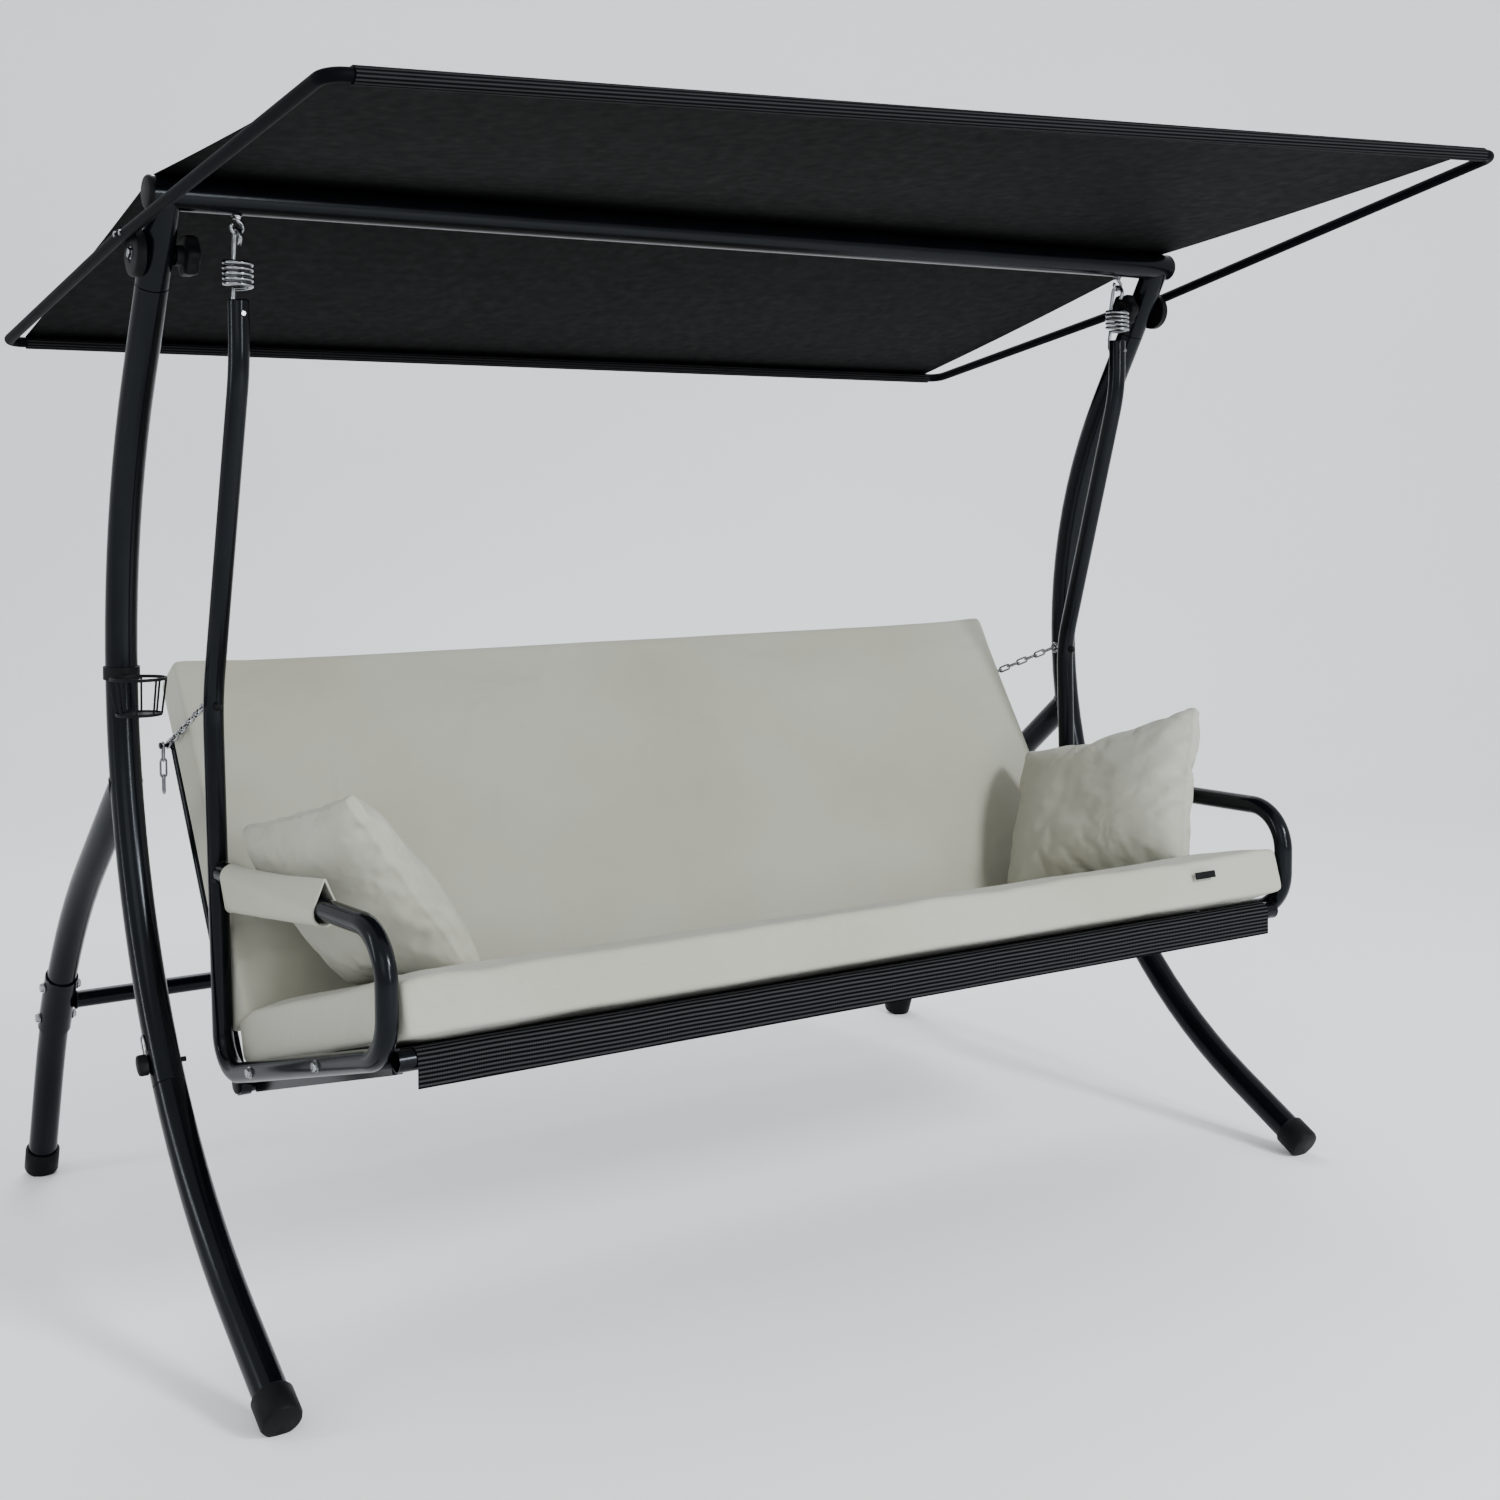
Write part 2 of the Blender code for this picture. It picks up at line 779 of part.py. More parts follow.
def make_rear_legs():
    bore = leg_radius - leg_wall
    for side, name in sides:
        route = rear_leg_route(side)
        joint = crossing(route, rear_joint_height)
        mesh = bmesh.new()
        sweep(mesh, stretch(route, rear_leg_lead, joint), leg_radius, leg_sides, bore)
        upper = piece("rear_leg_upper_" + name, mesh, frame_paint, bench)
        room = bmesh.new()
        front_route = front_leg_route(side)
        branch = crossing(front_route, rear_leg_branch_height)
        reach = 3 * leg_diameter
        sweep(room, stretch(front_route, branch - reach, branch + reach), leg_radius + gap, leg_sides)
        cut(upper, room, "front_leg_room")
        mesh = bmesh.new()
        end = length_of(route) - foot_cap_end - gap
        sweep(mesh, stretch(route, joint + gap, end), leg_radius, leg_sides, bore)
        lower = piece("rear_leg_lower_" + name, mesh, frame_paint, bench)
        for target, offset in ((upper, -joint_bolt_offset), (lower, joint_bolt_offset)):
            drill(target, [joint_hole(route, joint + offset)])


def make_crossbar():
    """The rear crossbar with the sleeve at each end that joins the two tubes of a rear leg."""
    route = rear_leg_route(1)
    joint = crossing(route, rear_joint_height)
    place = place_on(route, joint)[0]
    reach = leg_place - leg_radius - 2 * gap
    mesh = bmesh.new()
    ends = [Vector((side * reach, place.y - crossbar_lead, place.z)) for side in (-1, 1)]
    radius = crossbar_diameter / 2
    sweep(mesh, ends, radius, leg_sides, radius - crossbar_wall)
    bar = piece("rear_crossbar", mesh, frame_paint, bench)
    collars = bmesh.new()
    holes = []
    for side, name in sides:
        route = rear_leg_route(side)
        start = joint - collar_length / 2
        sweep(collars, stretch(route, start, start + collar_length), leg_radius + gap + collar_wall, leg_sides,
              leg_radius + gap)
        for offset in (-joint_bolt_offset, joint_bolt_offset):
            holes.append(joint_hole(route, joint + offset))
    weld(bar, collars, "collars")
    drill(bar, holes)


def make_leg_bolts():
    outer = leg_radius + gap + collar_wall
    for side, name in sides:
        route = rear_leg_route(side)
        joint = crossing(route, rear_joint_height)
        for level, offset in (("upper", -joint_bolt_offset), ("lower", joint_bolt_offset)):
            seat = place_on(route, joint + offset)[0] + x_axis * side * (outer + gap)
            mesh = bmesh.new()
            through_bolt(mesh, seat, x_axis * -side, joint_bolt_shank, joint_bolt_head, joint_bolt_head_height,
                         2 * (outer + gap))
            piece("rear_joint_bolt_" + level + "_" + name, mesh, zinc, bench)


def make_wing_bolts():
    """The front joints' bolts, each with a two-winged grip on its outer end."""
    waist = wing_knob_diameter / 2 * wing_knob_waist_share
    for side, name in sides:
        route = front_leg_route(side)
        place, direction = place_on(route, front_joint(route) - joint_bolt_offset)
        seat = place + x_axis * side * (leg_radius + gap)
        sideways = x_axis.cross(direction).normalized()
        wings, shank = [], []
        for index in range(wing_points):
            angle = math.tau * index / wing_points
            radius = waist + (wing_knob_diameter / 2 - waist) * math.cos(angle) ** 2
            ray = direction * math.cos(angle) + sideways * math.sin(angle)
            wings.append(ray * radius)
            shank.append(ray * joint_bolt_shank / 2)
        reach = -leg_diameter - wing_bolt_overhang
        mesh = bmesh.new()
        loops = [[mesh.verts.new(seat + x_axis * side * depth + point) for point in ring]
                 for ring, depth in ((wings, wing_knob_depth), (wings, 0), (shank, 0), (shank, reach))]
        for loop, next_loop in zip(loops, loops[1:]):
            skin(mesh, loop, next_loop)
        mesh.faces.new(loops[0])
        mesh.faces.new(loops[-1])
        piece("wing_bolt_" + name, mesh, black_plastic, bench)


def make_foot_caps():
    bore = leg_radius + leg_fit
    outer = bore + foot_cap_wall
    profile = [(0, 0), (outer * foot_cap_rim_share, 0), (outer, -foot_cap_end), (outer, -foot_cap_depth),
               (bore, -foot_cap_depth), (bore, -foot_cap_end), (0, -foot_cap_end)]
    size = 4 * leg_diameter
    for side, name in sides:
        for end_name, route in (("front", front_leg_route(side)), ("rear", rear_leg_route(side))):
            end, direction = place_on(route, length_of(route))
            mesh = bmesh.new()
            turned(mesh, profile, end, direction, cap_sides)
            cap = piece("foot_cap_" + end_name + "_" + name, mesh, black_plastic, bench)
            floor = bmesh.new()
            block(floor, Vector((end.x, end.y, -foot_cut_depth)), (size, size, 2 * foot_cut_depth))
            cut(cap, floor, "floor")


def make_cup_holder():
    """A clip round the left front leg, with a windowed basket on a short arm."""
    route = front_leg_route(-1)
    place, direction = place_on(route, crossing(route, cup_height))
    inner = leg_radius + leg_fit
    radius = cup_diameter / 2
    centre = Vector((place.x, place.y - inner - clamp_wall - clamp_arm_length - radius, cup_height - cup_depth))
    profile = [(0, 0), (radius - cup_wall, 0), (radius, cup_floor), (radius, cup_depth),
               (radius - cup_wall, cup_depth), (radius - cup_wall, cup_floor), (0, cup_floor)]
    mesh = bmesh.new()
    turned(mesh, profile, centre, z_axis, round_sides)
    holder = piece("cup_holder", mesh, black_plastic, bench)
    windows = bmesh.new()
    window_width = math.pi * cup_diameter / cup_window_count * cup_window_share
    window_height = cup_depth - cup_floor - 2 * cup_rim_height
    for index in range(cup_window_count):
        turn = Matrix.Rotation(math.tau * (index + 0.5) / cup_window_count, 3, "Z")
        middle_height = cup_floor + cup_rim_height + window_height / 2
        middle = centre + turn @ Vector((radius, 0, 0)) + z_axis * middle_height
        block(windows, middle, (cut_overrun, window_width, window_height), turn)
    cut(holder, windows, "windows")
    clip = bmesh.new()
    profile = [(inner, -clamp_height / 2), (inner + clamp_wall, -clamp_height / 2),
               (inner + clamp_wall, clamp_height / 2), (inner, clamp_height / 2)]
    turned(clip, profile, place, direction, cap_sides, ring=True)
    weld(holder, clip, "clip")
    arm = bmesh.new()
    arm_centre = Vector((place.x, centre.y + radius + clamp_arm_length / 2, place.z - clamp_arm_height / 2))
    block(arm, arm_centre, (clamp_arm_width, clamp_arm_length + cup_wall + clamp_wall, clamp_arm_height))
    weld(holder, arm, "arm")


def make_stand():
    make_crossbeam()
    make_beam_caps()
    make_front_legs()
    make_rear_legs()
    make_crossbar()
    make_leg_bolts()
    make_wing_bolts()
    make_foot_caps()
    make_cup_holder()


# Suspension

def make_beam_eyebolts():
    for side, name in sides:
        x = side * hanger_place
        centre = Vector((x, 0, swing_axis_height + beam_eye_bend))
        eye = ring_points(centre, x_axis, z_axis, beam_eye_bend, eye_points, beam_eye_start, beam_eye_end)
        neck = centre + z_axis * (beam_eye_bend + beam_eye_wire / 2)
        mesh = bmesh.new()
        sweep(mesh, eye + [neck, Vector((x, 0, beam_height))], beam_eye_wire / 2, wire_sides)
        eyebolt = piece("beam_eyebolt_" + name, mesh, zinc, bench)
        collar = bmesh.new()
        height = beam_height - beam_radius - gap - neck.z
        profile = [(0, 0), (eye_nut_diameter / 2, 0), (eye_nut_diameter / 2, height), (0, height)]
        turned(collar, profile, neck, z_axis, wire_sides)
        weld(eyebolt, collar, "nut")


def spring_route(side):
    """The wire from the eyebolt, over its lower wire, down the coil and through the hanger."""
    x = side * hanger_place
    coil_radius = (spring_diameter - spring_wire) / 2
    crest = swing_axis_height + beam_eye_wire / 2 + spring_wire / 2 + gap
    hook_centre = Vector((x, 0, crest - spring_hook_bend))
    upper_hook = ring_points(hook_centre, y_axis, z_axis, spring_hook_bend, eye_points, spring_hook_start, 0)
    pitch = spring_wire + spring_turn_gap
    coil_drop = pitch * spring_turns
    count = spring_turns * spring_points_per_turn
    top = spring_top_height - spring_wire / 2
    coil = []
    for index in range(count + 1):
        angle = math.pi / 2 + math.tau * index / spring_points_per_turn
        height = top - coil_drop * index / count
        coil.append(Vector((x + coil_radius * math.cos(angle), coil_radius * math.sin(angle), height)))
    lead_in_height = top + (hook_centre.z - top) * spring_lead_in_height_share
    lead_in = Vector((x, coil_radius * spring_lead_in_share, lead_in_height))
    bottom = top - coil_drop
    hook_level = side_top_height - hanger_hook_drop
    tail = coil_radius + spring_wire * spring_lead_out_share
    lead_out = Vector((x, tail, bottom - (bottom - hook_level) * spring_lead_out_height_share))
    turn = Vector((x, tail, hook_level + spring_wire))
    through = Vector((x, side_tube_radius + spring_bend_room, hook_level))
    out = Vector((x, -side_tube_radius - hanger_hook_overhang, hook_level))
    return upper_hook + [lead_in] + coil + [lead_out, turn, through, out], coil


def make_springs():
    for side, name in sides:
        route, coil = spring_route(side)
        mesh = bmesh.new()
        sweep(mesh, route, spring_wire / 2, wire_sides)
        piece("spring_" + name, mesh, zinc, suspension)
        least = min((coil[first] - coil[second]).length
                    for first in range(len(coil))
                    for second in range(first + spring_points_per_turn // 2, len(coil)))
        print("spring", name, "least gap between turns (mm):", round((least - spring_wire) * 1000, 2))


# Swing side frames and seat frame

def side_place(side, behind):
    """The side frame's distance from the middle, drawn in towards the front."""
    share = (side_lower_bend_behind - behind) / (side_lower_bend_behind + side_front_corner_ahead)
    return side * (hanger_place - side_toe_in * max(share, 0))


def arm_end_behind():
    """Where the arm's rear end meets the hanger."""
    rise = side_lower_bend_height - side_rear_corner_height
    share = (side_arm_rear_height - side_rear_corner_height) / rise
    hanger = side_rear_corner_behind + (side_lower_bend_behind - side_rear_corner_behind) * share
    return hanger - side_tube_radius - arm_end_room


def side_frame_route(side):
    corners = [
        (0, side_top_height),
        (0, side_upper_bend_height),
        (side_lower_bend_behind, side_lower_bend_height),
        (side_rear_corner_behind, side_rear_corner_height),
        (-side_front_corner_ahead, side_front_corner_height),
        (-side_front_corner_ahead, side_arm_height + gap),
        (arm_end_behind(), side_arm_rear_height),
    ]
    radii = [side_upper_bend_radius, side_upper_bend_radius, side_corner_bend_radius,
             side_arm_bend_radius, side_arm_bend_radius]
    route = rounded([Vector((0, behind, height)) for behind, height in corners], radii)
    for index, point in enumerate(route):
        hanging = index < 2 or point.z > side_arm_height + side_tube_diameter
        point.x = side * hanger_place if hanging else side_place(side, point.y)
    return route


def rail_height(behind):
    """The height of the side frame's seat rail at a distance behind the beam."""
    run = side_rear_corner_behind + side_front_corner_ahead
    rise = side_front_corner_height - side_rear_corner_height
    return side_rear_corner_height + rise * (side_rear_corner_behind - behind) / run


def rail_half_width(behind):
    """Half the length of a seat rail, which ends just short of the side frames."""
    return side_place(1, behind) - side_tube_radius - seat_rail_end_room


def seat_bolt_place(side, behind):
    return Vector((side_place(side, behind), behind, rail_height(behind)))


def make_side_frame(side, name):
    route = side_frame_route(side)
    mesh = bmesh.new()
    sweep(mesh, route, side_tube_radius, side_tube_sides, side_tube_radius - side_tube_wall)
    frame = piece("side_frame_" + name, mesh, frame_paint, swing)
    holes = []
    for behind in (seat_bolt_behind, -seat_bolt_ahead):
        holes.append((seat_bolt_place(side, behind), x_axis, seat_bolt_shank + 2 * hole_clearance,
                      side_tube_diameter + cut_overrun))
    hook_level = Vector((side * hanger_place, 0, side_top_height - hanger_hook_drop))
    holes.append((hook_level, y_axis, spring_wire + 2 * hole_clearance, side_tube_diameter + cut_overrun))
    eye = chain_eye_seat(side)
    holes.append((eye, y_axis, chain_eye_wire + 2 * hole_clearance, side_tube_diameter + cut_overrun))
    drill(frame, holes)


def make_seat_frame():
    """Two rails joined by side bars, bolted between the side frames."""
    front = Vector((0, -seat_front_ahead, seat_front_height))
    rear = Vector((0, seat_rear_behind, seat_rear_height))
    for name, middle in (("front", front), ("rear", rear)):
        rail = bmesh.new()
        ends = [middle + x_axis * side * rail_half_width(middle.y) for side in (-1, 1)]
        sweep(rail, ends, seat_rail_radius, round_sides // 2, seat_rail_radius - seat_rail_wall)
        piece("seat_" + name + "_rail", rail, frame_paint, swing)

    bar_place = rail_half_width(front.y) - seat_bar_inset
    along = (rear - front).normalized()
    start = front + along * (seat_rail_radius + gap)
    end = rear - along * (seat_rail_radius + gap)
    turn = Matrix((x_axis, along, x_axis.cross(along))).transposed()
    for side, name in sides:
        bar = bmesh.new()
        centre = (start + end) / 2 + x_axis * side * bar_place
        block(bar, centre, (seat_bar_thickness, (end - start).length, seat_bar_height), turn)
        bar = piece("seat_side_bar_" + name, bar, frame_paint, swing)
        holes = []
        for end_name, behind in (("rear", seat_bolt_behind), ("front", -seat_bolt_ahead)):
            place = seat_bolt_place(side, behind)
            outer = abs(place.x) + side_tube_radius + gap
            shoulder = (side_tube_diameter + 2 * gap, outer - bar_place - seat_bar_thickness / 2 - gap)
            grip = outer - bar_place + seat_bar_thickness / 2 + gap
            mesh = bmesh.new()
            seat = Vector((side * outer, place.y, place.z))
            through_bolt(mesh, seat, x_axis * -side, seat_bolt_shank, seat_bolt_head, seat_bolt_head_height,
                         grip, shoulder)
            piece("seat_bolt_" + end_name + "_" + name, mesh, zinc, swing)
            holes.append((Vector((side * bar_place, place.y, place.z)), x_axis,
                          seat_bolt_shank + 2 * hole_clearance, seat_bar_thickness + cut_overrun))
        drill(bar, holes)
    make_seat_sling(front, rear, bar_place - seat_bar_thickness / 2 - seat_sling_side_room)


def top_tangent(first, first_radius, second, second_radius):
    """The angle of the line that lies on top of two round rails, first the rear one."""
    span = second - first
    run = math.hypot(span.y, span.z)
    slope = math.atan2(span.z, -span.y)
    return slope + math.asin((second_radius - first_radius) / run)


def wrap(centre, radius, start, end, count):
    """Places round a rail, by the angle of their normal from upright towards the rear."""
    return [centre + Vector((0, math.sin(angle), math.cos(angle))) * radius
            for angle in (start + (end - start) * index / count for index in range(count + 1))]


def make_seat_sling(front, rear, half_width):
    radius = seat_rail_radius + sling_room + sling_thickness / 2
    slope = top_tangent(rear, radius, front, radius)
    rear_wrap = wrap(rear, radius, seat_hem_turn, slope, hem_steps)
    front_wrap = wrap(front, radius, slope, seat_front_turn, seat_front_steps)
    flap = front_wrap[-1] - z_axis * (seat_rail_radius + seat_sling_flap)
    line = rear_wrap + front_wrap + [flap]
    mesh = bmesh.new()
    lines = [[point + x_axis * side * half_width for point in line] for side in (-1, 1)]
    hung_sheet(mesh, lines, sling_thickness)
    piece("seat_sling", mesh, mesh_fabric, swing)


# Backrest

back_up = Vector((0, math.sin(back_lean), math.cos(back_lean)))
back_rearward = Vector((0, math.cos(back_lean), -math.sin(back_lean)))
back_tube_place = rail_half_width(seat_rear_behind) - back_sleeve_end_room - back_sleeve_length / 2


def make_backrest():
    """A bent hoop turning on the rear seat rail, with a cross rail, a sling and a pin for each chain."""
    pivot = Vector((0, seat_rear_behind, seat_rear_height))
    bore = (seat_rail_radius + gap) / math.cos(math.pi / round_sides)
    start = pivot + back_up * (bore + back_sleeve_wall / 2)
    top = pivot + back_up * back_length
    reach = x_axis * back_tube_place
    corners = [start - reach, top - reach, top + reach, start + reach]
    route = rounded(corners, [back_corner_radius, back_corner_radius], corner_arc_step)
    mesh = bmesh.new()
    sweep(mesh, route, back_tube_radius, side_tube_sides, back_tube_radius - back_tube_wall)
    hoop = piece("backrest_hoop", mesh, frame_paint, backrest)

    sleeves = bmesh.new()
    for side in (-1, 1):
        inner_end = pivot + x_axis * side * (back_tube_place - back_sleeve_length / 2)
        profile = [(bore, 0), (bore + back_sleeve_wall, 0),
                   (bore + back_sleeve_wall, back_sleeve_length), (bore, back_sleeve_length)]
        turned(sleeves, profile, inner_end, x_axis * side, round_sides, ring=True)
    weld(hoop, sleeves, "sleeves")

    level = pivot + back_up * back_cross_rail_distance
    rail = bmesh.new()
    half_width = x_axis * (back_tube_place - back_tube_radius - gap)
    sweep(rail, [level - half_width, level + half_width], back_tube_radius, side_tube_sides,
          back_tube_radius - back_tube_wall)
    piece("backrest_cross_rail", rail, frame_paint, backrest)

    pins = bmesh.new()
    for side in (-1, 1):
        place = chain_pin_place(side)
        inner = back_tube_place - back_tube_radius - chain_pin_head_height
        length = chain_pin_reach() - inner
        seat = Vector((side * inner, place.y, place.z))
        radius = chain_pin_diameter / 2
        profile = [(0, 0), (chain_pin_head / 2, 0), (chain_pin_head / 2, 2 * chain_pin_head_height),
                   (radius, 2 * chain_pin_head_height), (radius, length), (chain_pin_head / 2, length),
                   (chain_pin_head / 2, length + chain_pin_head_height), (0, length + chain_pin_head_height)]
        turned(pins, profile, seat, x_axis * side, bolt_sides)
    weld(hoop, pins, "chain_pins")
    drill(hoop, [(top - back_up * back_tube_radius, back_up, back_vent_diameter, back_tube_radius)])

    radius = back_tube_radius + sling_room + sling_thickness / 2
    line = []
    turns = ((top, back_hem_start, back_panel_turn), (level, back_panel_turn, back_hem_end))
    for centre, first, last in turns:
        for index in range(back_hem_steps + 1):
            angle = first + (last - first) * index / back_hem_steps
            line.append(centre + (back_up * math.cos(angle) - back_rearward * math.sin(angle)) * radius)
    half_width = back_tube_place - back_sling_inset
    lines = [[point + x_axis * side * half_width for point in line] for side in (-1, 1)]
    sling = bmesh.new()
    hung_sheet(sling, lines, sling_thickness)
    piece("backrest_sling", sling, mesh_fabric, backrest)


# Chains

def chain_plane():
    """How far out the chain's last link hangs on its pin."""
    return back_tube_place + back_tube_radius + chain_pin_collar + chain_wire / 2


def tail_plane():
    return chain_plane() + chain_wire + chain_pin_collar


def chain_pin_reach():
    return tail_plane() + chain_wire / 2 + chain_pin_collar / 2


def chain_pin_place(side):
    pivot = Vector((0, seat_rear_behind, seat_rear_height))
    place = pivot + back_up * chain_pin_distance
    return Vector((side * chain_plane(), place.y, place.z))


def chain_eye_seat(side):
    """Where the chain's eyebolt crosses the hanger's axis."""
    route = side_frame_route(side)
    return place_on(route, crossing(route, chain_eye_height))[0]


def chain_eye_centre(side):
    return chain_eye_seat(side) + y_axis * (side_tube_radius + chain_eye_neck + chain_eye_bend)


def make_chain_eyebolts():
    for side, name in sides:
        seat = chain_eye_seat(side)
        centre = chain_eye_centre(side)
        eye = ring_points(centre, -y_axis, z_axis, chain_eye_bend, eye_points, chain_eye_start, chain_eye_end)
        neck = centre - y_axis * (chain_eye_bend + chain_eye_wire * chain_eye_neck_share)
        tip = seat - y_axis * (side_tube_radius + chain_nut_height)
        mesh = bmesh.new()
        sweep(mesh, eye + [neck, tip], chain_eye_wire / 2, wire_sides)
        eyebolt = piece("chain_eyebolt_" + name, mesh, zinc, swing)
        dome = bmesh.new()
        radius = chain_nut_diameter / 2
        profile = [(0, 0), (radius, 0), (radius, chain_nut_height * chain_nut_flat_share),
                   (radius * chain_nut_crown_share, chain_nut_height),
                   (0, chain_nut_height * chain_nut_top_share)]
        turned(dome, profile, seat - y_axis * (side_tube_radius + chain_nut_room), -y_axis, side_tube_sides)
        weld(eyebolt, dome, "nut")


link_end_shares = ((0, -1), (1, -0.55), (1, 0.55), (0, 1))


def link(mesh, centre, along, across, inner_length):
    """One chain link: two blunt ends joined by straight sides."""
    half_width = (chain_link_width - chain_wire) / 2
    reach = (inner_length + chain_wire) / 2 - half_width
    points = []
    for sign in (1, -1):
        for along_share, across_share in link_end_shares:
            points.append(centre + (along * (reach + half_width * along_share)
                                    + across * half_width * across_share) * sign)
    sweep(mesh, points, chain_wire / 2, link_sides, closed=True)


def chain(start, end, count, first_across):
    """The odd and the even links between two end wires' places, each link square to the last.

    Neighbouring links bite into each other a little, so the chain is one solid.
    """
    along = (end - start).normalized()
    pitch = ((end - start).length + chain_bite - chain_wire) / count
    inner_length = pitch - chain_bite
    halves = (bmesh.new(), bmesh.new())
    for index in range(count):
        centre = start + along * (inner_length / 2 + chain_wire / 2 + pitch * index)
        across = (first_across - along * first_across.dot(along)).normalized()
        if index % 2:
            across = along.cross(across)
        link(halves[index % 2], centre, along, across, inner_length)
    return halves


def chain_pitch(start, end):
    return ((end - start).length + chain_bite - chain_wire) / chain_links


def make_chains():
    for side, name in sides:
        reach = chain_eye_bend - (chain_eye_wire + chain_wire) / 2 - chain_room
        eye = chain_eye_centre(side) + y_axis * reach
        pin = chain_pin_place(side)
        along = (pin - eye).normalized()
        end = pin + along * ((chain_pin_diameter + chain_wire) / 2 + chain_room)
        odd, even = chain(eye, end, chain_links, x_axis)
        weld(piece("chain_" + name, odd, zinc, swing), even, "links")

        hang = Vector((side * tail_plane(), pin.y, pin.z))
        top = hang + z_axis * ((chain_pin_diameter + chain_wire) / 2 + chain_room)
        bottom = top - z_axis * (chain_pitch(eye, end) * spare_links + chain_wire)
        odd, even = chain(top, bottom, spare_links, y_axis)
        weld(piece("chain_tail_" + name, odd, zinc, tails[name]), even, "links")


# Soft pieces

def seat_cushion_place():
    """Lying on the seat's sling, from a little ahead of the front rail."""
    front = Vector((0, -seat_front_ahead, seat_front_height))
    along = (Vector((0, seat_rear_behind, seat_rear_height)) - front).normalized()
    upward = x_axis.cross(along)
    lift = seat_rail_radius + sling_room + sling_thickness + gap + seat_cushion_thickness / 2
    centre = front + along * (seat_cushion_length / 2 - seat_cushion_overhang) + upward * lift
    return Matrix.Translation(centre) @ Matrix((x_axis, along, upward)).transposed().to_4x4()


def back_cushion_place():
    """Lying on the backrest's sling, with the same lean."""
    pivot = Vector((0, seat_rear_behind, seat_rear_height))
    ahead = back_tube_radius + sling_room + sling_thickness + gap + back_cushion_thickness / 2
    centre = pivot + back_up * (back_cushion_start + back_cushion_length / 2) - back_rearward * ahead
    return Matrix.Translation(centre) @ Matrix((x_axis, back_up, -back_rearward)).transposed().to_4x4()


def make_cushions():
    seat = bmesh.new()
    cushion(seat, (seat_cushion_width, seat_cushion_length, seat_cushion_thickness), seat_cushion_corner,
            cushion_draw_in, cushion_edge_depth, boxed_section_shares, seat_cushion_place(), cushion_sides)
    piece("seat_cushion", seat, ecru_cloth, swing)

    back = bmesh.new()
    cushion(back, (back_cushion_width, back_cushion_length, back_cushion_thickness), back_cushion_corner,
            cushion_draw_in, cushion_edge_depth, boxed_section_shares, back_cushion_place(), cushion_sides)
    piece("back_cushion", back, ecru_cloth, backrest)


def pillow_place_matrix(side):
    """A pillow leaning outwards on an arm, its long side following the seat's slope."""
    centre = Vector((side * pillow_place, -pillow_ahead, pillow_centre_height))
    turn = Matrix.Rotation(side * pillow_turn, 4, "Z")
    slope = Matrix.Rotation(-pillow_slope, 4, "X")
    lean = Matrix.Rotation(side * pillow_lean, 4, "Y")
    upright = Matrix((y_axis, z_axis, x_axis)).transposed().to_4x4()
    return Matrix.Translation(centre) @ turn @ slope @ lean @ upright


def make_pillows():
    for side, name in sides:
        mesh = bmesh.new()
        cushion(mesh, (pillow_width, pillow_height, pillow_thickness), pillow_corner, pillow_draw_in,
                pillow_edge_depth, pillow_section_shares, pillow_place_matrix(side), cushion_sides)
        piece("pillow_" + name, mesh, ecru_cloth, swing)


def make_sleeves():
    """Flat cloth sleeves over the arms, hanging a hand's width below the tube."""
    for side, name in sides:
        mesh = bmesh.new()
        loops = []
        front = -sleeve_front_ahead
        rear = front + sleeve_length
        for behind in (front, rear):
            centre = Vector((side_place(side, behind), behind, arm_height_at(behind)))
            for wall, order in ((sleeve_wall, 1), (0, -1)):
                radius = side_tube_radius + sleeve_room + wall
                foot = sleeve_foot_radius + wall
                outline = []
                for index in range(sleeve_top_steps + 1):
                    angle = math.pi * index / sleeve_top_steps
                    outline.append(centre + (x_axis * math.cos(angle) + z_axis * math.sin(angle)) * radius)
                low = centre - z_axis * sleeve_drop
                for index in range(sleeve_foot_steps + 1):
                    angle = math.pi + math.pi * index / sleeve_foot_steps
                    outline.append(low + (x_axis * math.cos(angle) + z_axis * math.sin(angle)) * foot)
                loops.append([mesh.verts.new(point) for point in outline])
        outer_front, inner_front, outer_rear, inner_rear = loops
        skin(mesh, outer_front, outer_rear)
        skin(mesh, inner_front, inner_rear)
        skin(mesh, outer_front, inner_front)
        skin(mesh, outer_rear, inner_rear)
        piece("arm_sleeve_" + name, mesh, ecru_cloth, swing)


def arm_height_at(behind):
    share = (behind + side_front_corner_ahead) / (arm_end_behind() + side_front_corner_ahead)
    return side_arm_height + gap + (side_arm_rear_height - side_arm_height - gap) * share


# Canopy

canopy_pivot = Vector((0, canopy_pivot_behind, canopy_pivot_height))


def canopy_front(x):
    """The front rail's axis at a distance across; the canopy hangs a little skew."""
    share = (x + canopy_arm_place) / (2 * canopy_arm_place)
    rise = canopy_front_rise_left + (canopy_front_rise_right - canopy_front_rise_left) * share
    return Vector((x, -canopy_front_ahead, beam_height + rise))


def canopy_rear(x):
    share = (x + canopy_arm_place) / (2 * canopy_arm_place)
    drop = canopy_rear_drop_left + (canopy_rear_drop_right - canopy_rear_drop_left) * share
    return Vector((x, canopy_rear_behind, beam_height - drop))


def arm_stud_place(side, sign):
    """Where a hoop's end crosses its stud on the disc, ahead of or behind the pivot."""
    return Vector((side * canopy_arm_place, canopy_pivot_behind + sign * arm_stud_offset,
                   canopy_pivot_height + canopy_arm_lift))


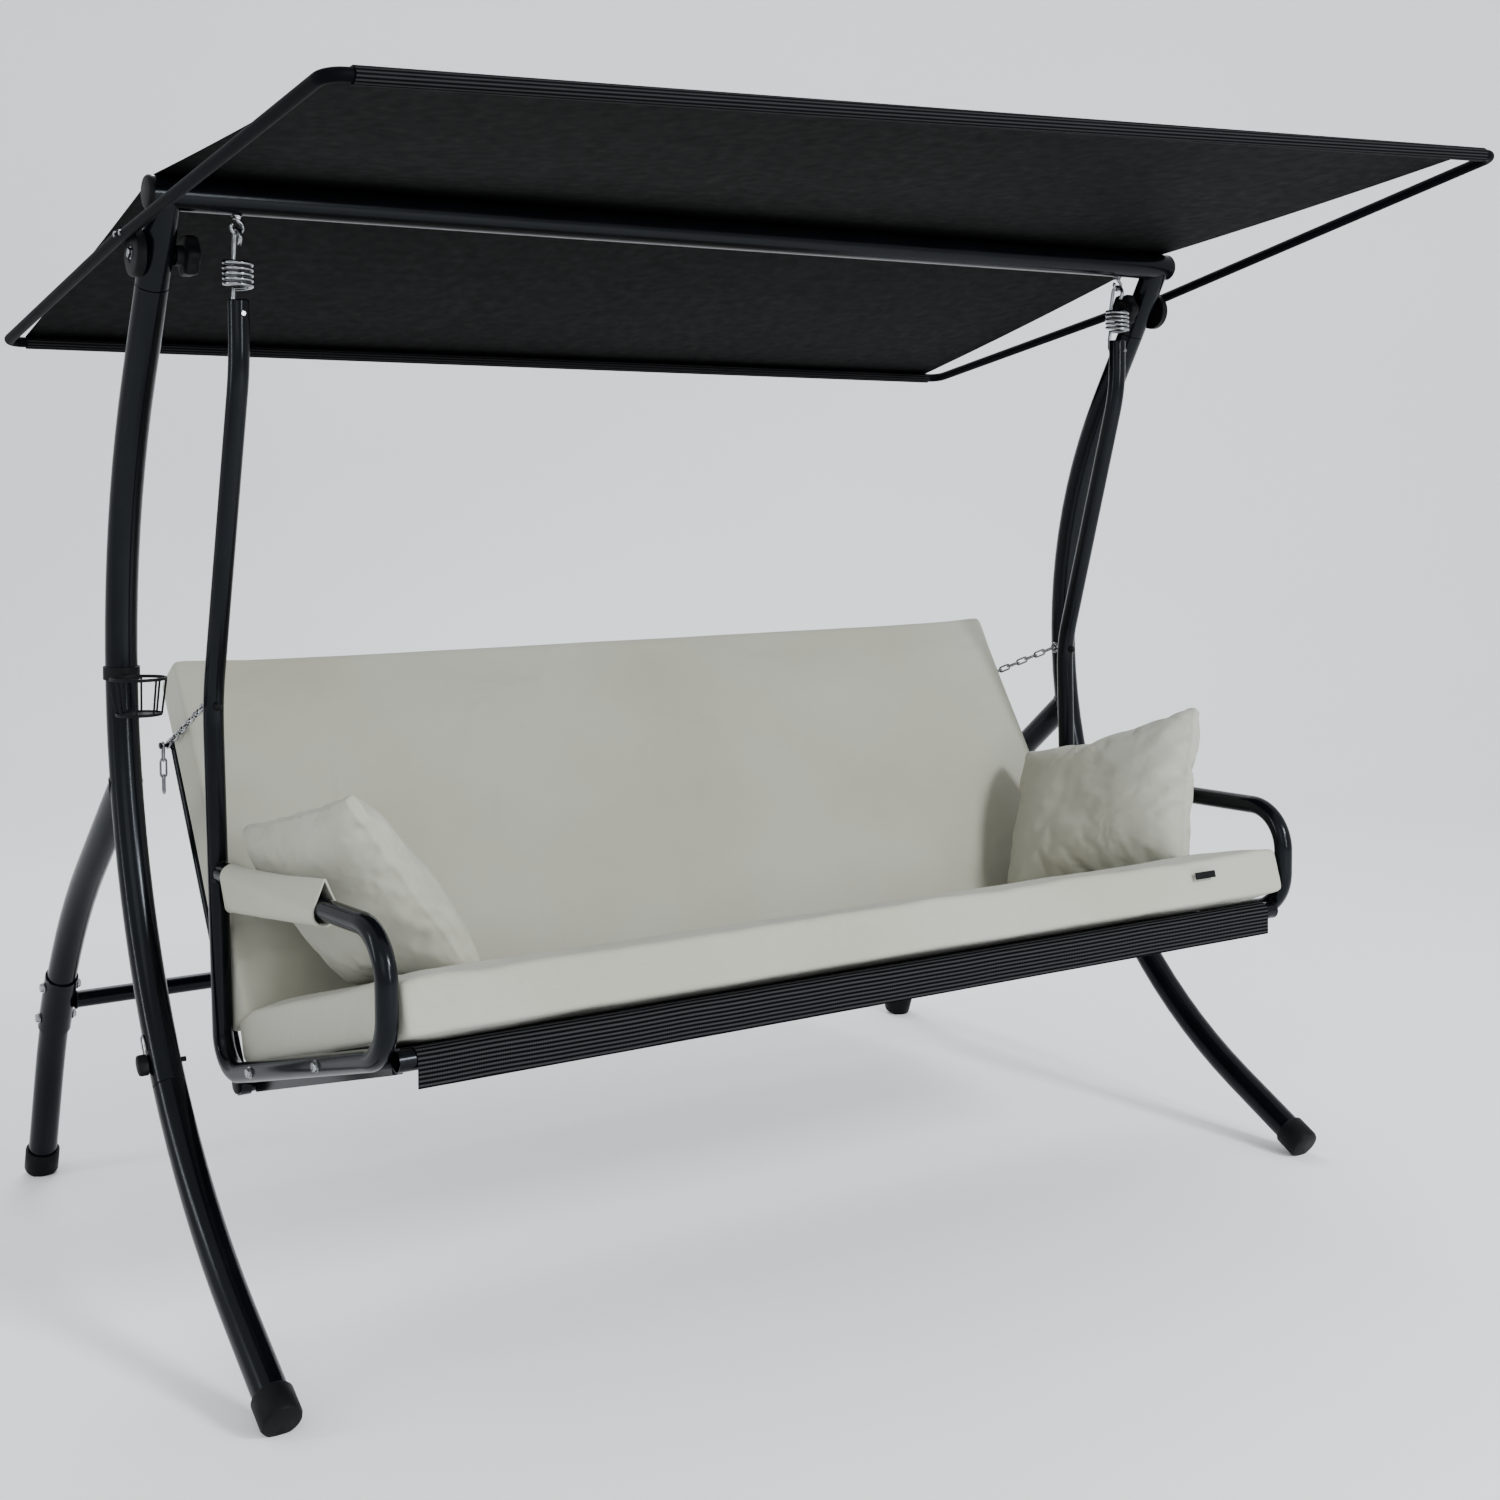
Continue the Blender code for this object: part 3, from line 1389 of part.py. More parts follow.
def make_canopy_hoops():
    """The front and the rear hoop: an arm, a rail and an arm in one bent tube."""
    for name, rail, sign in (("front", canopy_front, -1), ("rear", canopy_rear, 1)):
        corners = []
        holes = []
        for side in (-1, 1):
            stud = arm_stud_place(side, sign)
            corner = rail(side * canopy_arm_place)
            start = stud - (corner - stud).normalized() * (arm_stud_offset - gap)
            corners += [start, corner] if side < 0 else [corner, start]
            holes.append((stud, x_axis, arm_stud_diameter + 2 * hole_clearance,
                          canopy_arm_diameter + cut_overrun))
        route = rounded(corners, [canopy_corner_radius, canopy_corner_radius], corner_arc_step)
        mesh = bmesh.new()
        sweep(mesh, route, arm_tube_radius, thin_tube_sides, arm_tube_radius - canopy_arm_wall)
        drill(piece("canopy_" + name + "_hoop", mesh, frame_paint, canopy), holes)


def make_pivot_discs():
    """Each disc has the pivot stud that runs through the leg, and two studs for the hoops' ends."""
    inner = leg_place + leg_radius + gap
    depth = canopy_arm_place - arm_tube_radius - gap - inner
    radius = disc_diameter / 2
    stud = pivot_stud_diameter / 2
    reach = leg_diameter + gap + star_knob_hub_depth + star_knob_depth * pivot_stud_share
    for side, name in sides:
        mesh = bmesh.new()
        profile = [(0, -reach), (stud, -reach), (stud, 0), (radius, 0), (radius, depth - disc_rim),
                   (radius - disc_rim, depth), (pivot_bolt_head / 2, depth),
                   (pivot_bolt_head / 2 * pivot_bolt_crown_share, depth + pivot_bolt_head_height),
                   (0, depth + pivot_bolt_head_height)]
        turned(mesh, profile, canopy_pivot + x_axis * side * inner, x_axis * side, round_sides)
        disc = piece("pivot_disc_" + name, mesh, black_plastic, canopy)
        studs = bmesh.new()
        for sign in (-1, 1):
            place = arm_stud_place(side, sign)
            seat = Vector((side * (inner + depth - arm_stud_root), place.y, place.z))
            length = arm_stud_root + canopy_arm_diameter + gap + arm_stud_overhang
            profile = [(arm_stud_diameter / 2, 0), (arm_stud_diameter / 2, length)]
            turned(studs, profile, seat, x_axis * side, hole_sides)
        weld(disc, studs, "arm_studs")


def make_star_knob(side, name):
    """A lobed knob on the inner end of a pivot bolt."""
    inner = leg_place - leg_radius - gap
    hub = star_knob_hub_diameter / 2
    bore = pivot_stud_diameter / 2 + gap
    count = 4 * star_knob_lobes
    levels = [(bore, 0, 0), (hub, 0, 0), (hub, 0, star_knob_hub_depth)]
    radius = star_knob_diameter / 2
    body_end = star_knob_hub_depth + star_knob_depth
    rim_start = star_knob_hub_depth + star_knob_depth * star_knob_rim_start_share
    rim_end = star_knob_hub_depth + star_knob_depth * star_knob_rim_end_share
    levels += [(radius * star_knob_shoulder_share, star_knob_lobe_share, star_knob_hub_depth),
               (radius, star_knob_lobe_share, rim_start), (radius, star_knob_lobe_share, rim_end),
               (radius * star_knob_crown_share, star_knob_lobe_share, body_end), (bore, 0, body_end)]
    mesh = bmesh.new()
    loops = []
    for size, lobe, depth in levels:
        centre = canopy_pivot + x_axis * side * (inner - depth)
        loop = []
        for index in range(count):
            angle = math.tau * index / count
            reach = size * (1 - lobe * (1 - math.cos(star_knob_lobes * angle)) / 2)
            ray = y_axis * math.cos(angle) + z_axis * math.sin(angle)
            loop.append(mesh.verts.new(centre + ray * reach))
        loops.append(loop)
    for loop, next_loop in zip(loops, loops[1:] + loops[:1]):
        skin(mesh, loop, next_loop)
    piece("star_knob_" + name, mesh, black_plastic, knobs[name])


def canopy_fabric_line(x):
    """The fabric's middle line at one place across: rear hem, over the beam, front hem."""
    hem = arm_tube_radius + canopy_hem_room + canopy_fabric_thickness / 2
    over = beam_radius + gap + canopy_fabric_thickness / 2
    ridge = Vector((x, 0, beam_height))
    rear, front = canopy_rear(x), canopy_front(x)
    rear_slope = top_tangent(rear, hem, ridge, over)
    front_slope = top_tangent(ridge, over, front, hem)
    rear_wrap = wrap(rear, hem, canopy_hem_turn, rear_slope, hem_steps)
    ridge_wrap = wrap(ridge, over, rear_slope, front_slope, ridge_steps)
    front_wrap = wrap(front, hem, front_slope, -canopy_hem_turn, hem_steps)
    return rear_wrap + ridge_wrap + front_wrap


def make_canopy_fabric():
    mesh = bmesh.new()
    shares = (2 * index / (canopy_stations - 1) - 1 for index in range(canopy_stations))
    lines = [canopy_fabric_line(canopy_fabric_half_width * share) for share in shares]
    hung_sheet(mesh, lines, canopy_fabric_thickness)
    piece("canopy_fabric", mesh, mesh_fabric, canopy)


clear_scene()
frame_paint = material("frame_paint", (0.020, 0.022, 0.026), 0.32, 0.3)
black_plastic = material("black_plastic", (0.012, 0.012, 0.013), 0.5)
zinc = material("zinc", (0.55, 0.56, 0.58), 0.3, 1.0)
mesh_fabric = material("mesh_fabric", (0.010, 0.010, 0.012), 0.8)
ecru_cloth = material("ecru_cloth", (0.72, 0.69, 0.60), 0.9)

bench = body("bench", Vector((0, -beam_setback, 0)))
suspension = body("suspension", Vector((0, 0, swing_axis_height)), bench)
swing = body("swing", Vector((0, 0, side_top_height)), suspension)
backrest = body("backrest", Vector((0, seat_rear_behind, seat_rear_height)), swing)
tails = {}
for tail_side, tail_name in sides:
    tails[tail_name] = body("chain_tail_pivot_" + tail_name, chain_pin_place(tail_side), backrest)
canopy = body("canopy", canopy_pivot, bench)
knobs = {}
for knob_side, knob_name in sides:
    knob_axis = canopy_pivot + x_axis * knob_side * (leg_place - leg_radius)
    knobs[knob_name] = body("star_knob_axis_" + knob_name, knob_axis, canopy)

make_stand()
make_beam_eyebolts()
make_springs()
for frame_side, frame_name in sides:
    make_side_frame(frame_side, frame_name)
    make_star_knob(frame_side, frame_name)
make_seat_frame()
make_backrest()
make_chain_eyebolts()
make_chains()
make_cushions()
make_pillows()
make_sleeves()
make_canopy_hoops()
make_pivot_discs()
make_canopy_fabric()
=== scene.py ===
"""Dresses the garden swing bench: smooth tubes, sewn cushions, woven sheets and their materials.

Places are given from the point on the floor under the middle of the crossbeam, as in the part's source,
and every piece is then moved back by beam_setback into the shared frame.
"""
import math

import bmesh
import bpy
from mathutils import Matrix, Vector, noise


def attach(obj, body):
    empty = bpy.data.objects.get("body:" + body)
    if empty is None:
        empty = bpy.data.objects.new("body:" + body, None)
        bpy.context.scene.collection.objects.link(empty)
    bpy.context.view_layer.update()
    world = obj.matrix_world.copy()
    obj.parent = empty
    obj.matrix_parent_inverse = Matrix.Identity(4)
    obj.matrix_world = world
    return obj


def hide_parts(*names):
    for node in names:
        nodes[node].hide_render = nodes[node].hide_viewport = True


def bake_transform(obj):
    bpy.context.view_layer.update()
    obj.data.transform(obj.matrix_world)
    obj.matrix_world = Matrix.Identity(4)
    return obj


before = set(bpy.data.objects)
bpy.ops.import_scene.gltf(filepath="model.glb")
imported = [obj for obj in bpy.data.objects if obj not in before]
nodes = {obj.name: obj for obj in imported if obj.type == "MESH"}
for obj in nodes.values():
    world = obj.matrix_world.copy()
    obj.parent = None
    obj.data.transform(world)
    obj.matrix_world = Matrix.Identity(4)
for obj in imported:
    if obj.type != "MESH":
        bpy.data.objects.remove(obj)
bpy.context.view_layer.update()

# Stand
beam_setback = 0.055
beam_height = 1.689
beam_radius = 0.025
beam_wall = 0.0020
beam_half_length = 1.016
beam_cap_depth = 0.008
leg_place = 0.994
leg_radius = 0.025
leg_wall = 0.0018
front_knee = (0.630, 0.575)
front_bend = 0.963
front_foot = (-0.398, 0.020)
rear_branch = (0.2565, 0.800)
rear_knee = (0.682, 0.456)
rear_bend = 1.014
rear_foot = (0.853, 0.006)
rear_leg_lead = 0.010
socket_start = 0.006
socket_length = 0.145
front_bolt_height = 0.390
joint_bolt_offset = 0.036
rear_joint_height = 0.352
collar_length = 0.120
collar_wall = 0.0030
crossbar_radius = 0.015
crossbar_wall = 0.0015
crossbar_lead = 0.012
foot_cap_wall = 0.0040
foot_cap_depth = 0.046
foot_cap_end = 0.006
joint_line = 0.0012
snug_gap = 0.0003
moulding_gap = 0.0008
tube_end_rounding = 0.0008
collar_rounding = 0.0010
plug_reach = 0.030
weld_bead = 0.0022
weld_sink = 0.0005
weld_points = 48
weld_ripple_count = 23
weld_ripple = 0.25

# Bolts and nuts: width across flats, height
joint_bolt_head = (0.013, 0.0055)
eyebolt_nut = (0.0115, 0.0045)
seat_bolt_head = (0.0125, 0.0050)
seat_bolt_nut = (0.0125, 0.0060)
chain_eye_nut = (0.0095, 0.0035)
chain_dome_nut = (0.0125, 0.0095)
pivot_bolt_head = (0.013, 0.0050)
arm_bolt_head = (0.0078, 0.0026)
washer_share = 0.72
washer_depth = 0.0012
wing_waist = 0.0092
wing_reach = 0.0076
leg_clip_radius = 0.0016
leg_clip_half = 0.007
leg_clip_start = 0.020
thread_turns = 5
thread_pitch = 0.0011
thread_radius = 0.00045

# Cup holder
cup_height = 0.970
cup_radius = 0.043
cup_depth = 0.060
cup_wall = 0.0020
cup_rim = 0.0052
cup_posts = 8
cup_post_width = 0.0036
cup_foot_share = 0.82
cup_floor = 0.0025
cup_edge = 0.0006
cup_gap = 0.018
clip_height = 0.022
clip_wall = 0.0025
clip_arm = (0.014, 0.020, 0.010)

# Suspension
hanger_place = 0.888
swing_axis_height = 1.638
eye_bend = 0.0090
eye_wire = 0.006
spring_wire = 0.007
spring_diameter = 0.047
spring_turns = 5
spring_turn_gap = 0.0008
spring_top_height = 1.6005
spring_hook_bend = 0.0130
hanger_hook_drop = 0.0190
hanger_hook_overhang = 0.0070

# Side frames
side_radius = 0.016
side_wall = 0.0015
side_top_height = 1.5375
side_corners = ((0, 1.5375), (0, 1.443), (0.150, 0.930), (0.132, 0.342), (-0.456, 0.503), (-0.456, 0.6743))
side_bends = (0.300, 0.300, 0.055, 0.074, 0.074)
arm_end = (0.1246, 0.662)
side_toe_in = 0.026
side_straight_behind = 0.150
side_front_ahead = 0.456
seat_bolt_places = (("front", -0.259), ("rear", -0.015))
seat_bolt_end = 0.8300
spacer_start = 0.0160
spacer_play = 0.0010

# Seat frame and its sheets
seat_front = (-0.4430, 0.4925)
seat_rear = (0.125, 0.325)
seat_rail_radius = 0.015
seat_rail_wall = 0.0015
seat_front_half = 0.8450
seat_rear_half = 0.869
seat_sling_half = 0.820
sling_thickness = 0.0014
sling_room = 0.0008
seat_sling_flap = 0.022

# Backrest
back_lean = math.radians(32.0)
back_length = 0.628
back_tube_radius = 0.008
back_tube_place = 0.859
back_corner = 0.045
back_cross_rail = 0.110
back_sling_half = 0.800
chain_pin_distance = 0.592
chain_pin_radius = 0.003
sleeve_wall = 0.0030
sleeve_length = 0.019

# Chains
chain_wire = 0.004
chain_width = 0.014
chain_play = 0.0004
chain_links = 10
spare_links = 3
chain_eye_height = 0.922
chain_eye_bend = 0.0085
chain_eye_wire = 0.005
chain_eye_neck = 0.008
chain_plane = 0.872
tail_plane = 0.879

# Cushions: width, length, thickness
seat_pad_size = (1.736, 0.604, 0.100)
seat_pad_overhang = 0.044
back_pad_size = (1.742, 0.622, 0.112)
back_pad_start = 0.0745
pad_edge = 0.008
pad_seam = 0.0034
pad_cell = 0.014
pad_play = 0.014
pad_pressure = 4.0
pad_slack = 0.010
pad_frames = 20
seat_pad_fold = 0.0055
back_pad_fold = 0.0065
cushion_gap = 0.0006
tab_size = (0.046, 0.003, 0.012)
tab_edge = 0.0006
seat_tab_place = 0.655
back_tab_place = 0.670
pillow_size = (0.440, 0.345, 0.138)
pillow_cell = 0.009
pillow_depth = 0.020
pillow_places = {-1: 0.752, 1: 0.752}
pillow_aheads = {-1: 0.092, 1: 0.105}
pillow_centre_height = 0.6446
pillow_lean = math.radians(33.0)
pillow_slope = math.radians(15.5)
pillow_turns = {-1: math.radians(-1.0), 1: math.radians(12.0)}
pillow_rolls = {-1: math.radians(2.0), 1: math.radians(-2.0)}
pillow_corner_share = 0.08
pillow_fold = 0.018
pillow_pressure = 7.0
pillow_slack = 0.045
pillow_frames = 36
pillow_play = 0.080
pillow_stiffness = 0.02

# Arm sleeves
arm_sleeve_spans = {-1: (-0.262, 0.082), 1: (-0.160, 0.090)}
arm_sleeve_lift = 0.024
arm_sleeve_pinch = 0.75
arm_sleeve_wall = 0.0024
arm_sleeve_room = 0.0008
arm_sleeve_drop = 0.044
arm_sleeve_front_drop = 0.006
arm_sleeve_foot = 0.010
arm_sleeve_piping = 0.0019
arm_sleeve_wave = 0.0050

# Canopy
pivot = (0.042, 1.605)
canopy_arm_place = 1.043
canopy_arm_radius = 0.009
canopy_arm_rounding = 0.0012
canopy_arm_lift = 0.027
canopy_front_ahead = 0.746
canopy_front_heights = (1.729, 1.811)
canopy_rear_behind = 0.755
canopy_rear_heights = (1.519, 1.504)
canopy_corner = 0.024
canopy_half = 1.010
canopy_thickness = 0.0014
canopy_hem_room = 0.0012
canopy_sag = 0.007
canopy_flutter = 0.0022
# How far before and behind the pivot each canopy arm starts on its disc
stud_offset = 0.013
disc_radius = 0.035
disc_depth = 0.0147
knob_bore = 0.0053
knob_radius = 0.0325
knob_depth = 0.022
knob_lobes = 6
knob_hub_radius = 0.015
knob_hub_depth = 0.010

# Studio
studio_half = 9.0
studio_height = 7.0
studio_rear = 4.0
studio_bend = 2.5

# Camera and image
camera_place = (-1.909, -2.979, 1.266)
camera_yaw = math.radians(33.28)
camera_pitch = math.radians(-2.89)
camera_roll = math.radians(-0.31)
focal_pixels = 2012.5
image_pixels = 1500
axis_pixel = (745.7, 583.4)
sensor_width = 36.0

tube_sides = 36
wire_sides = 14
arc_step = math.radians(3.0)

x_axis = Vector((1, 0, 0))
y_axis = Vector((0, 1, 0))
z_axis = Vector((0, 0, 1))
sides = ((-1, "left"), (1, "right"))


# Materials

def new_material(name, colour, roughness):
    """A material with its node tree and its main shader."""
    material = bpy.data.materials.new(name)
    material.use_nodes = True
    shader = material.node_tree.nodes["Principled BSDF"]
    shader.inputs["Base Color"].default_value = (*colour, 1)
    shader.inputs["Roughness"].default_value = roughness
    return material, material.node_tree, shader


def noise_on(tree, coordinates, scale, detail=3.0):
    """Grey noise over the coordinates, as a factor."""
    texture = tree.nodes.new("ShaderNodeTexNoise")
    texture.inputs["Scale"].default_value = scale
    texture.inputs["Detail"].default_value = detail
    tree.links.new(coordinates, texture.inputs["Vector"])
    return texture.outputs["Fac"]


def ramp(tree, factor, stops):
    """Colours or greys along a factor, given as place and colour pairs."""
    node = tree.nodes.new("ShaderNodeValToRGB")
    elements = node.color_ramp.elements
    while len(elements) < len(stops):
        elements.new(0.5)
    for element, (place, colour) in zip(elements, stops):
        element.position = place
        element.color = (*colour, 1)
    tree.links.new(factor, node.inputs["Fac"])
    return node.outputs["Color"]


def spread(tree, factor, low, high):
    """The factor's range moved to run from low to high."""
    node = tree.nodes.new("ShaderNodeMapRange")
    node.inputs["To Min"].default_value = low
    node.inputs["To Max"].default_value = high
    tree.links.new(factor, node.inputs["Value"])
    return node.outputs["Result"]


def combine(tree, first, second, operation):
    """One arithmetic step on two factors or numbers."""
    node = tree.nodes.new("ShaderNodeMath")
    node.operation = operation
    for socket, value in zip(node.inputs, (first, second)):
        if isinstance(value, (int, float)):
            socket.default_value = value
        else:
            tree.links.new(value, socket)
    return node.outputs["Value"]


def raise_surface(tree, shader, height, strength, distance):
    """Fine relief on the shader from a height factor."""
    bump = tree.nodes.new("ShaderNodeBump")
    bump.inputs["Strength"].default_value = strength
    bump.inputs["Distance"].default_value = distance
    tree.links.new(height, bump.inputs["Height"])
    tree.links.new(bump.outputs["Normal"], shader.inputs["Normal"])


def object_coordinates(tree):
    return tree.nodes.new("ShaderNodeTexCoord").outputs["Object"]


def frame_paint_material(name, gloss, least_rough, most_rough):
    """Anthracite powder coat: a faint orange peel under gloss, duller where hands and feet have rubbed it."""
    material, tree, shader = new_material(name, (0.002, 0.0023, 0.003), least_rough)
    place = object_coordinates(tree)
    patches = noise_on(tree, place, 9.0, 5.0)
    tones = ((0.30, (0.0014, 0.0016, 0.0022)), (0.72, (0.0028, 0.0032, 0.0044)))
    tree.links.new(ramp(tree, patches, tones), shader.inputs["Base Color"])
    tree.links.new(spread(tree, patches, least_rough, most_rough), shader.inputs["Roughness"])
    shader.inputs["Specular IOR Level"].default_value = gloss
    shader.inputs["Specular Tint"].default_value = (0.86, 0.93, 1.0, 1)
    raise_surface(tree, shader, noise_on(tree, place, 520.0, 2.0), 0.10, 0.0004)
    return material


def black_plastic_material():
    """Moulded plastic with a fine matt grain."""
    material, tree, shader = new_material("moulded_black_plastic", (0.004, 0.004, 0.0045), 0.48)
    shader.inputs["Specular IOR Level"].default_value = 0.08
    place = object_coordinates(tree)
    tree.links.new(spread(tree, noise_on(tree, place, 60.0), 0.40, 0.58), shader.inputs["Roughness"])
    raise_surface(tree, shader, noise_on(tree, place, 1800.0, 1.0), 0.25, 0.0003)
    return material


def zinc_material():
    """Bright zinc plate with a faint cloudy bloom."""
    material, tree, shader = new_material("zinc_plate", (0.60, 0.61, 0.63), 0.3)
    shader.inputs["Metallic"].default_value = 1.0
    place = object_coordinates(tree)
    cloud = noise_on(tree, place, 130.0, 4.0)
    tones = ((0.25, (0.15, 0.155, 0.16)), (0.75, (0.34, 0.35, 0.37)))
    tree.links.new(ramp(tree, cloud, tones), shader.inputs["Base Color"])
    tree.links.new(spread(tree, cloud, 0.14, 0.26), shader.inputs["Roughness"])
    raise_surface(tree, shader, noise_on(tree, place, 900.0, 2.0), 0.12, 0.0003)
    return material


def ecru_cloth_material(name, fold_strength):
    """Natural cotton: a plain weave, slubs, soft folds, and slow changes of tone."""
    material, tree, shader = new_material(name, (0.58, 0.565, 0.46), 0.9)
    place = object_coordinates(tree)
    tone = noise_on(tree, place, 2.2, 4.0)
    tones = ((0.28, (0.330, 0.322, 0.250)), (0.55, (0.364, 0.360, 0.300)), (0.80, (0.380, 0.378, 0.328)))
    tree.links.new(ramp(tree, tone, tones), shader.inputs["Base Color"])
    shader.inputs["Sheen Weight"].default_value = 0.15
    shader.inputs["Sheen Roughness"].default_value = 0.5
    shader.inputs["Specular IOR Level"].default_value = 0.2
    threads = []
    for direction in ("X", "Y", "Z"):
        wave = tree.nodes.new("ShaderNodeTexWave")
        wave.bands_direction = direction
        wave.inputs["Scale"].default_value = 320.0
        wave.inputs["Distortion"].default_value = 1.2
        wave.inputs["Detail Scale"].default_value = 2.0
        tree.links.new(place, wave.inputs["Vector"])
        threads.append(wave.outputs["Fac"])
    weave = combine(tree, combine(tree, threads[0], threads[1], "ADD"), threads[2], "ADD")
    slubs = combine(tree, noise_on(tree, place, 90.0, 6.0), 1.6, "MULTIPLY")
    raise_surface(tree, shader, combine(tree, weave, slubs, "ADD"), 0.35, 0.0005)
    folds = noise_on(tree, place, 7.0, 2.0)
    folds.node.inputs["Distortion"].default_value = 1.4
    lower_bump = tree.nodes.new("ShaderNodeBump")
    lower_bump.inputs["Strength"].default_value = fold_strength
    lower_bump.inputs["Distance"].default_value = 0.02
    tree.links.new(folds, lower_bump.inputs["Height"])
    weave_bump = shader.inputs["Normal"].links[0].from_node
    tree.links.new(lower_bump.outputs["Normal"], weave_bump.inputs["Normal"])
    return material


def mesh_fabric_material(name, rib_pitch, rib_contrast):
    """Black woven mesh: ribs across the sheet, dotted by the threads that cross them."""
    material, tree, shader = new_material(name, (0.003, 0.003, 0.0035), 0.75)
    shader.inputs["Specular IOR Level"].default_value = 0.03
    flat = tree.nodes.new("ShaderNodeUVMap").outputs["UV"]
    split = tree.nodes.new("ShaderNodeSeparateXYZ")
    tree.links.new(flat, split.inputs["Vector"])
    turn = math.tau / rib_pitch
    along = combine(tree, combine(tree, split.outputs["X"], turn * 1.7, "MULTIPLY"), 0, "SINE")
    across = combine(tree, combine(tree, split.outputs["Y"], turn, "MULTIPLY"), 0, "SINE")
    dots = combine(tree, combine(tree, along, 0.35, "MULTIPLY"), across, "ADD")
    level = spread(tree, dots, 0.0, 1.0)
    level.node.inputs["From Min"].default_value = -1.35
    level.node.inputs["From Max"].default_value = 1.35
    dark, light = (0.0006, 0.0006, 0.0008), (rib_contrast, rib_contrast, rib_contrast * 1.06)
    tree.links.new(ramp(tree, level, ((0.35, dark), (0.85, light))), shader.inputs["Base Color"])
    tree.links.new(spread(tree, noise_on(tree, object_coordinates(tree), 45.0), 0.55, 0.80),
                   shader.inputs["Roughness"])
    raise_surface(tree, shader, level, 0.6, 0.0007)
    return material


def floor_material():
    """Pale paper of the studio, with barely visible changes of tone."""
    material, tree, shader = new_material("pale_floor", (0.93, 0.93, 0.93), 0.8)
    place = object_coordinates(tree)
    tones = ((0.2, (0.92, 0.92, 0.92)), (0.8, (0.94, 0.94, 0.94)))
    tree.links.new(ramp(tree, noise_on(tree, place, 1.3), tones), shader.inputs["Base Color"])
    return material


frame_paint = frame_paint_material("anthracite_powder_coat", 0.14, 0.14, 0.24)
canopy_paint = frame_paint_material("satin_powder_coat", 0.02, 0.45, 0.55)
black_plastic = black_plastic_material()
zinc = zinc_material()
ecru_cloth = ecru_cloth_material("natural_cotton", 0.26)
pillow_cloth = ecru_cloth_material("pillow_cotton", 0.60)
canopy_mesh = mesh_fabric_material("canopy_mesh", 0.0040, 0.0018)
seat_mesh = mesh_fabric_material("seat_mesh", 0.0062, 0.030)
# The hem's copy of the canopy weave has much lighter threads: a painted highlight where light falls on the
# hem.
lit_hem_mesh = mesh_fabric_material("lit_hem_mesh", 0.0048, 0.020)


# Pieces

def at(x, place):
    """A point from its distance across and its pair of depth and height."""
    return Vector((x, place[0], place[1]))


def piece(name, mesh, surface, body, stands_for=(), sharp=40):
    """A finished object in the shared frame, riding on its body."""
    bmesh.ops.translate(mesh, verts=mesh.verts, vec=(0, -beam_setback, 0))
    bmesh.ops.recalc_face_normals(mesh, faces=mesh.faces)
    data = bpy.data.meshes.new(name)
    mesh.to_mesh(data)
    mesh.free()
    data.materials.append(surface)
    data.shade_smooth()
    data.set_sharp_from_angle(angle=math.radians(sharp))
    result = bpy.data.objects.new(name, data)
    bpy.context.scene.collection.objects.link(result)
    if stands_for:
        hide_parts(*stands_for)
    if body:
        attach(result, body)
    return result


def rounded(corners, radii):
    """A route through corners, with an arc of the given radius at each inner one."""
    route = [corners[0]]
    for before, corner, after, radius in zip(corners, corners[1:], corners[2:], radii):
        inward = (corner - before).normalized()
        outward = (after - corner).normalized()
        turn = inward.angle(outward)
        start = corner - inward * radius * math.tan(turn / 2)
        towards_centre = (outward - inward * inward.dot(outward)).normalized()
        centre = start + towards_centre * radius
        count = max(2, math.ceil(turn / arc_step))
        for index in range(count + 1):
            angle = turn * index / count
            route.append(centre + (inward * math.sin(angle) - towards_centre * math.cos(angle)) * radius)
    route.append(corners[-1])
    return route


def place_on(route, distance):
    """The point and the direction at a distance along a route."""
    travelled = 0.0
    for here, there in zip(route, route[1:]):
        step = (there - here).length
        if distance <= travelled + step:
            return here.lerp(there, (distance - travelled) / step), (there - here) / step
        travelled += step
    return route[-1], (route[-1] - route[-2]).normalized()


def length_of(route):
    return sum((there - here).length for here, there in zip(route, route[1:]))


def crossing(route, height):
    """The distance along a falling route at which it passes a height."""
    travelled = 0.0
    for here, there in zip(route, route[1:]):
        step = (there - here).length
        if there.z <= height <= here.z:
            return travelled + step * (here.z - height) / (here.z - there.z)
        travelled += step
    return travelled


def stretch(route, start, end):
    """The part of a route between two distances along it."""
    points = [place_on(route, start)[0]]
    travelled = 0.0
    for here, there in zip(route, route[1:]):
        travelled += (there - here).length
        if start + joint_line / 2 < travelled < end - joint_line / 2:
            points.append(there)
    points.append(place_on(route, end)[0])
    return points


def ring_points(centre, first, second, radius, count, start=0.0, end=math.tau):
    """Points on an arc, or on a whole circle, in the plane of two directions."""
    return [centre + (first * math.cos(angle) + second * math.sin(angle)) * radius
            for angle in (start + (end - start) * index / count for index in range(count))]


def circle(mesh, centre, first, second, radius, count):
    return [mesh.verts.new(point) for point in ring_points(centre, first, second, radius, count)]


def square_to(direction, preferred, other):
    """Two directions square to the given one and to each other, the first of them near the preferred one."""
    reference = preferred if abs(direction.dot(preferred)) < 0.9 else other
    across = (reference - direction * reference.dot(direction)).normalized()
    return across, direction.cross(across)


def skin(mesh, loop, next_loop):
    """Faces between two loops with the same number of points."""
    count = len(loop)
    for index in range(count):
        after = (index + 1) % count
        mesh.faces.new((loop[index], loop[after], next_loop[after], next_loop[index]))


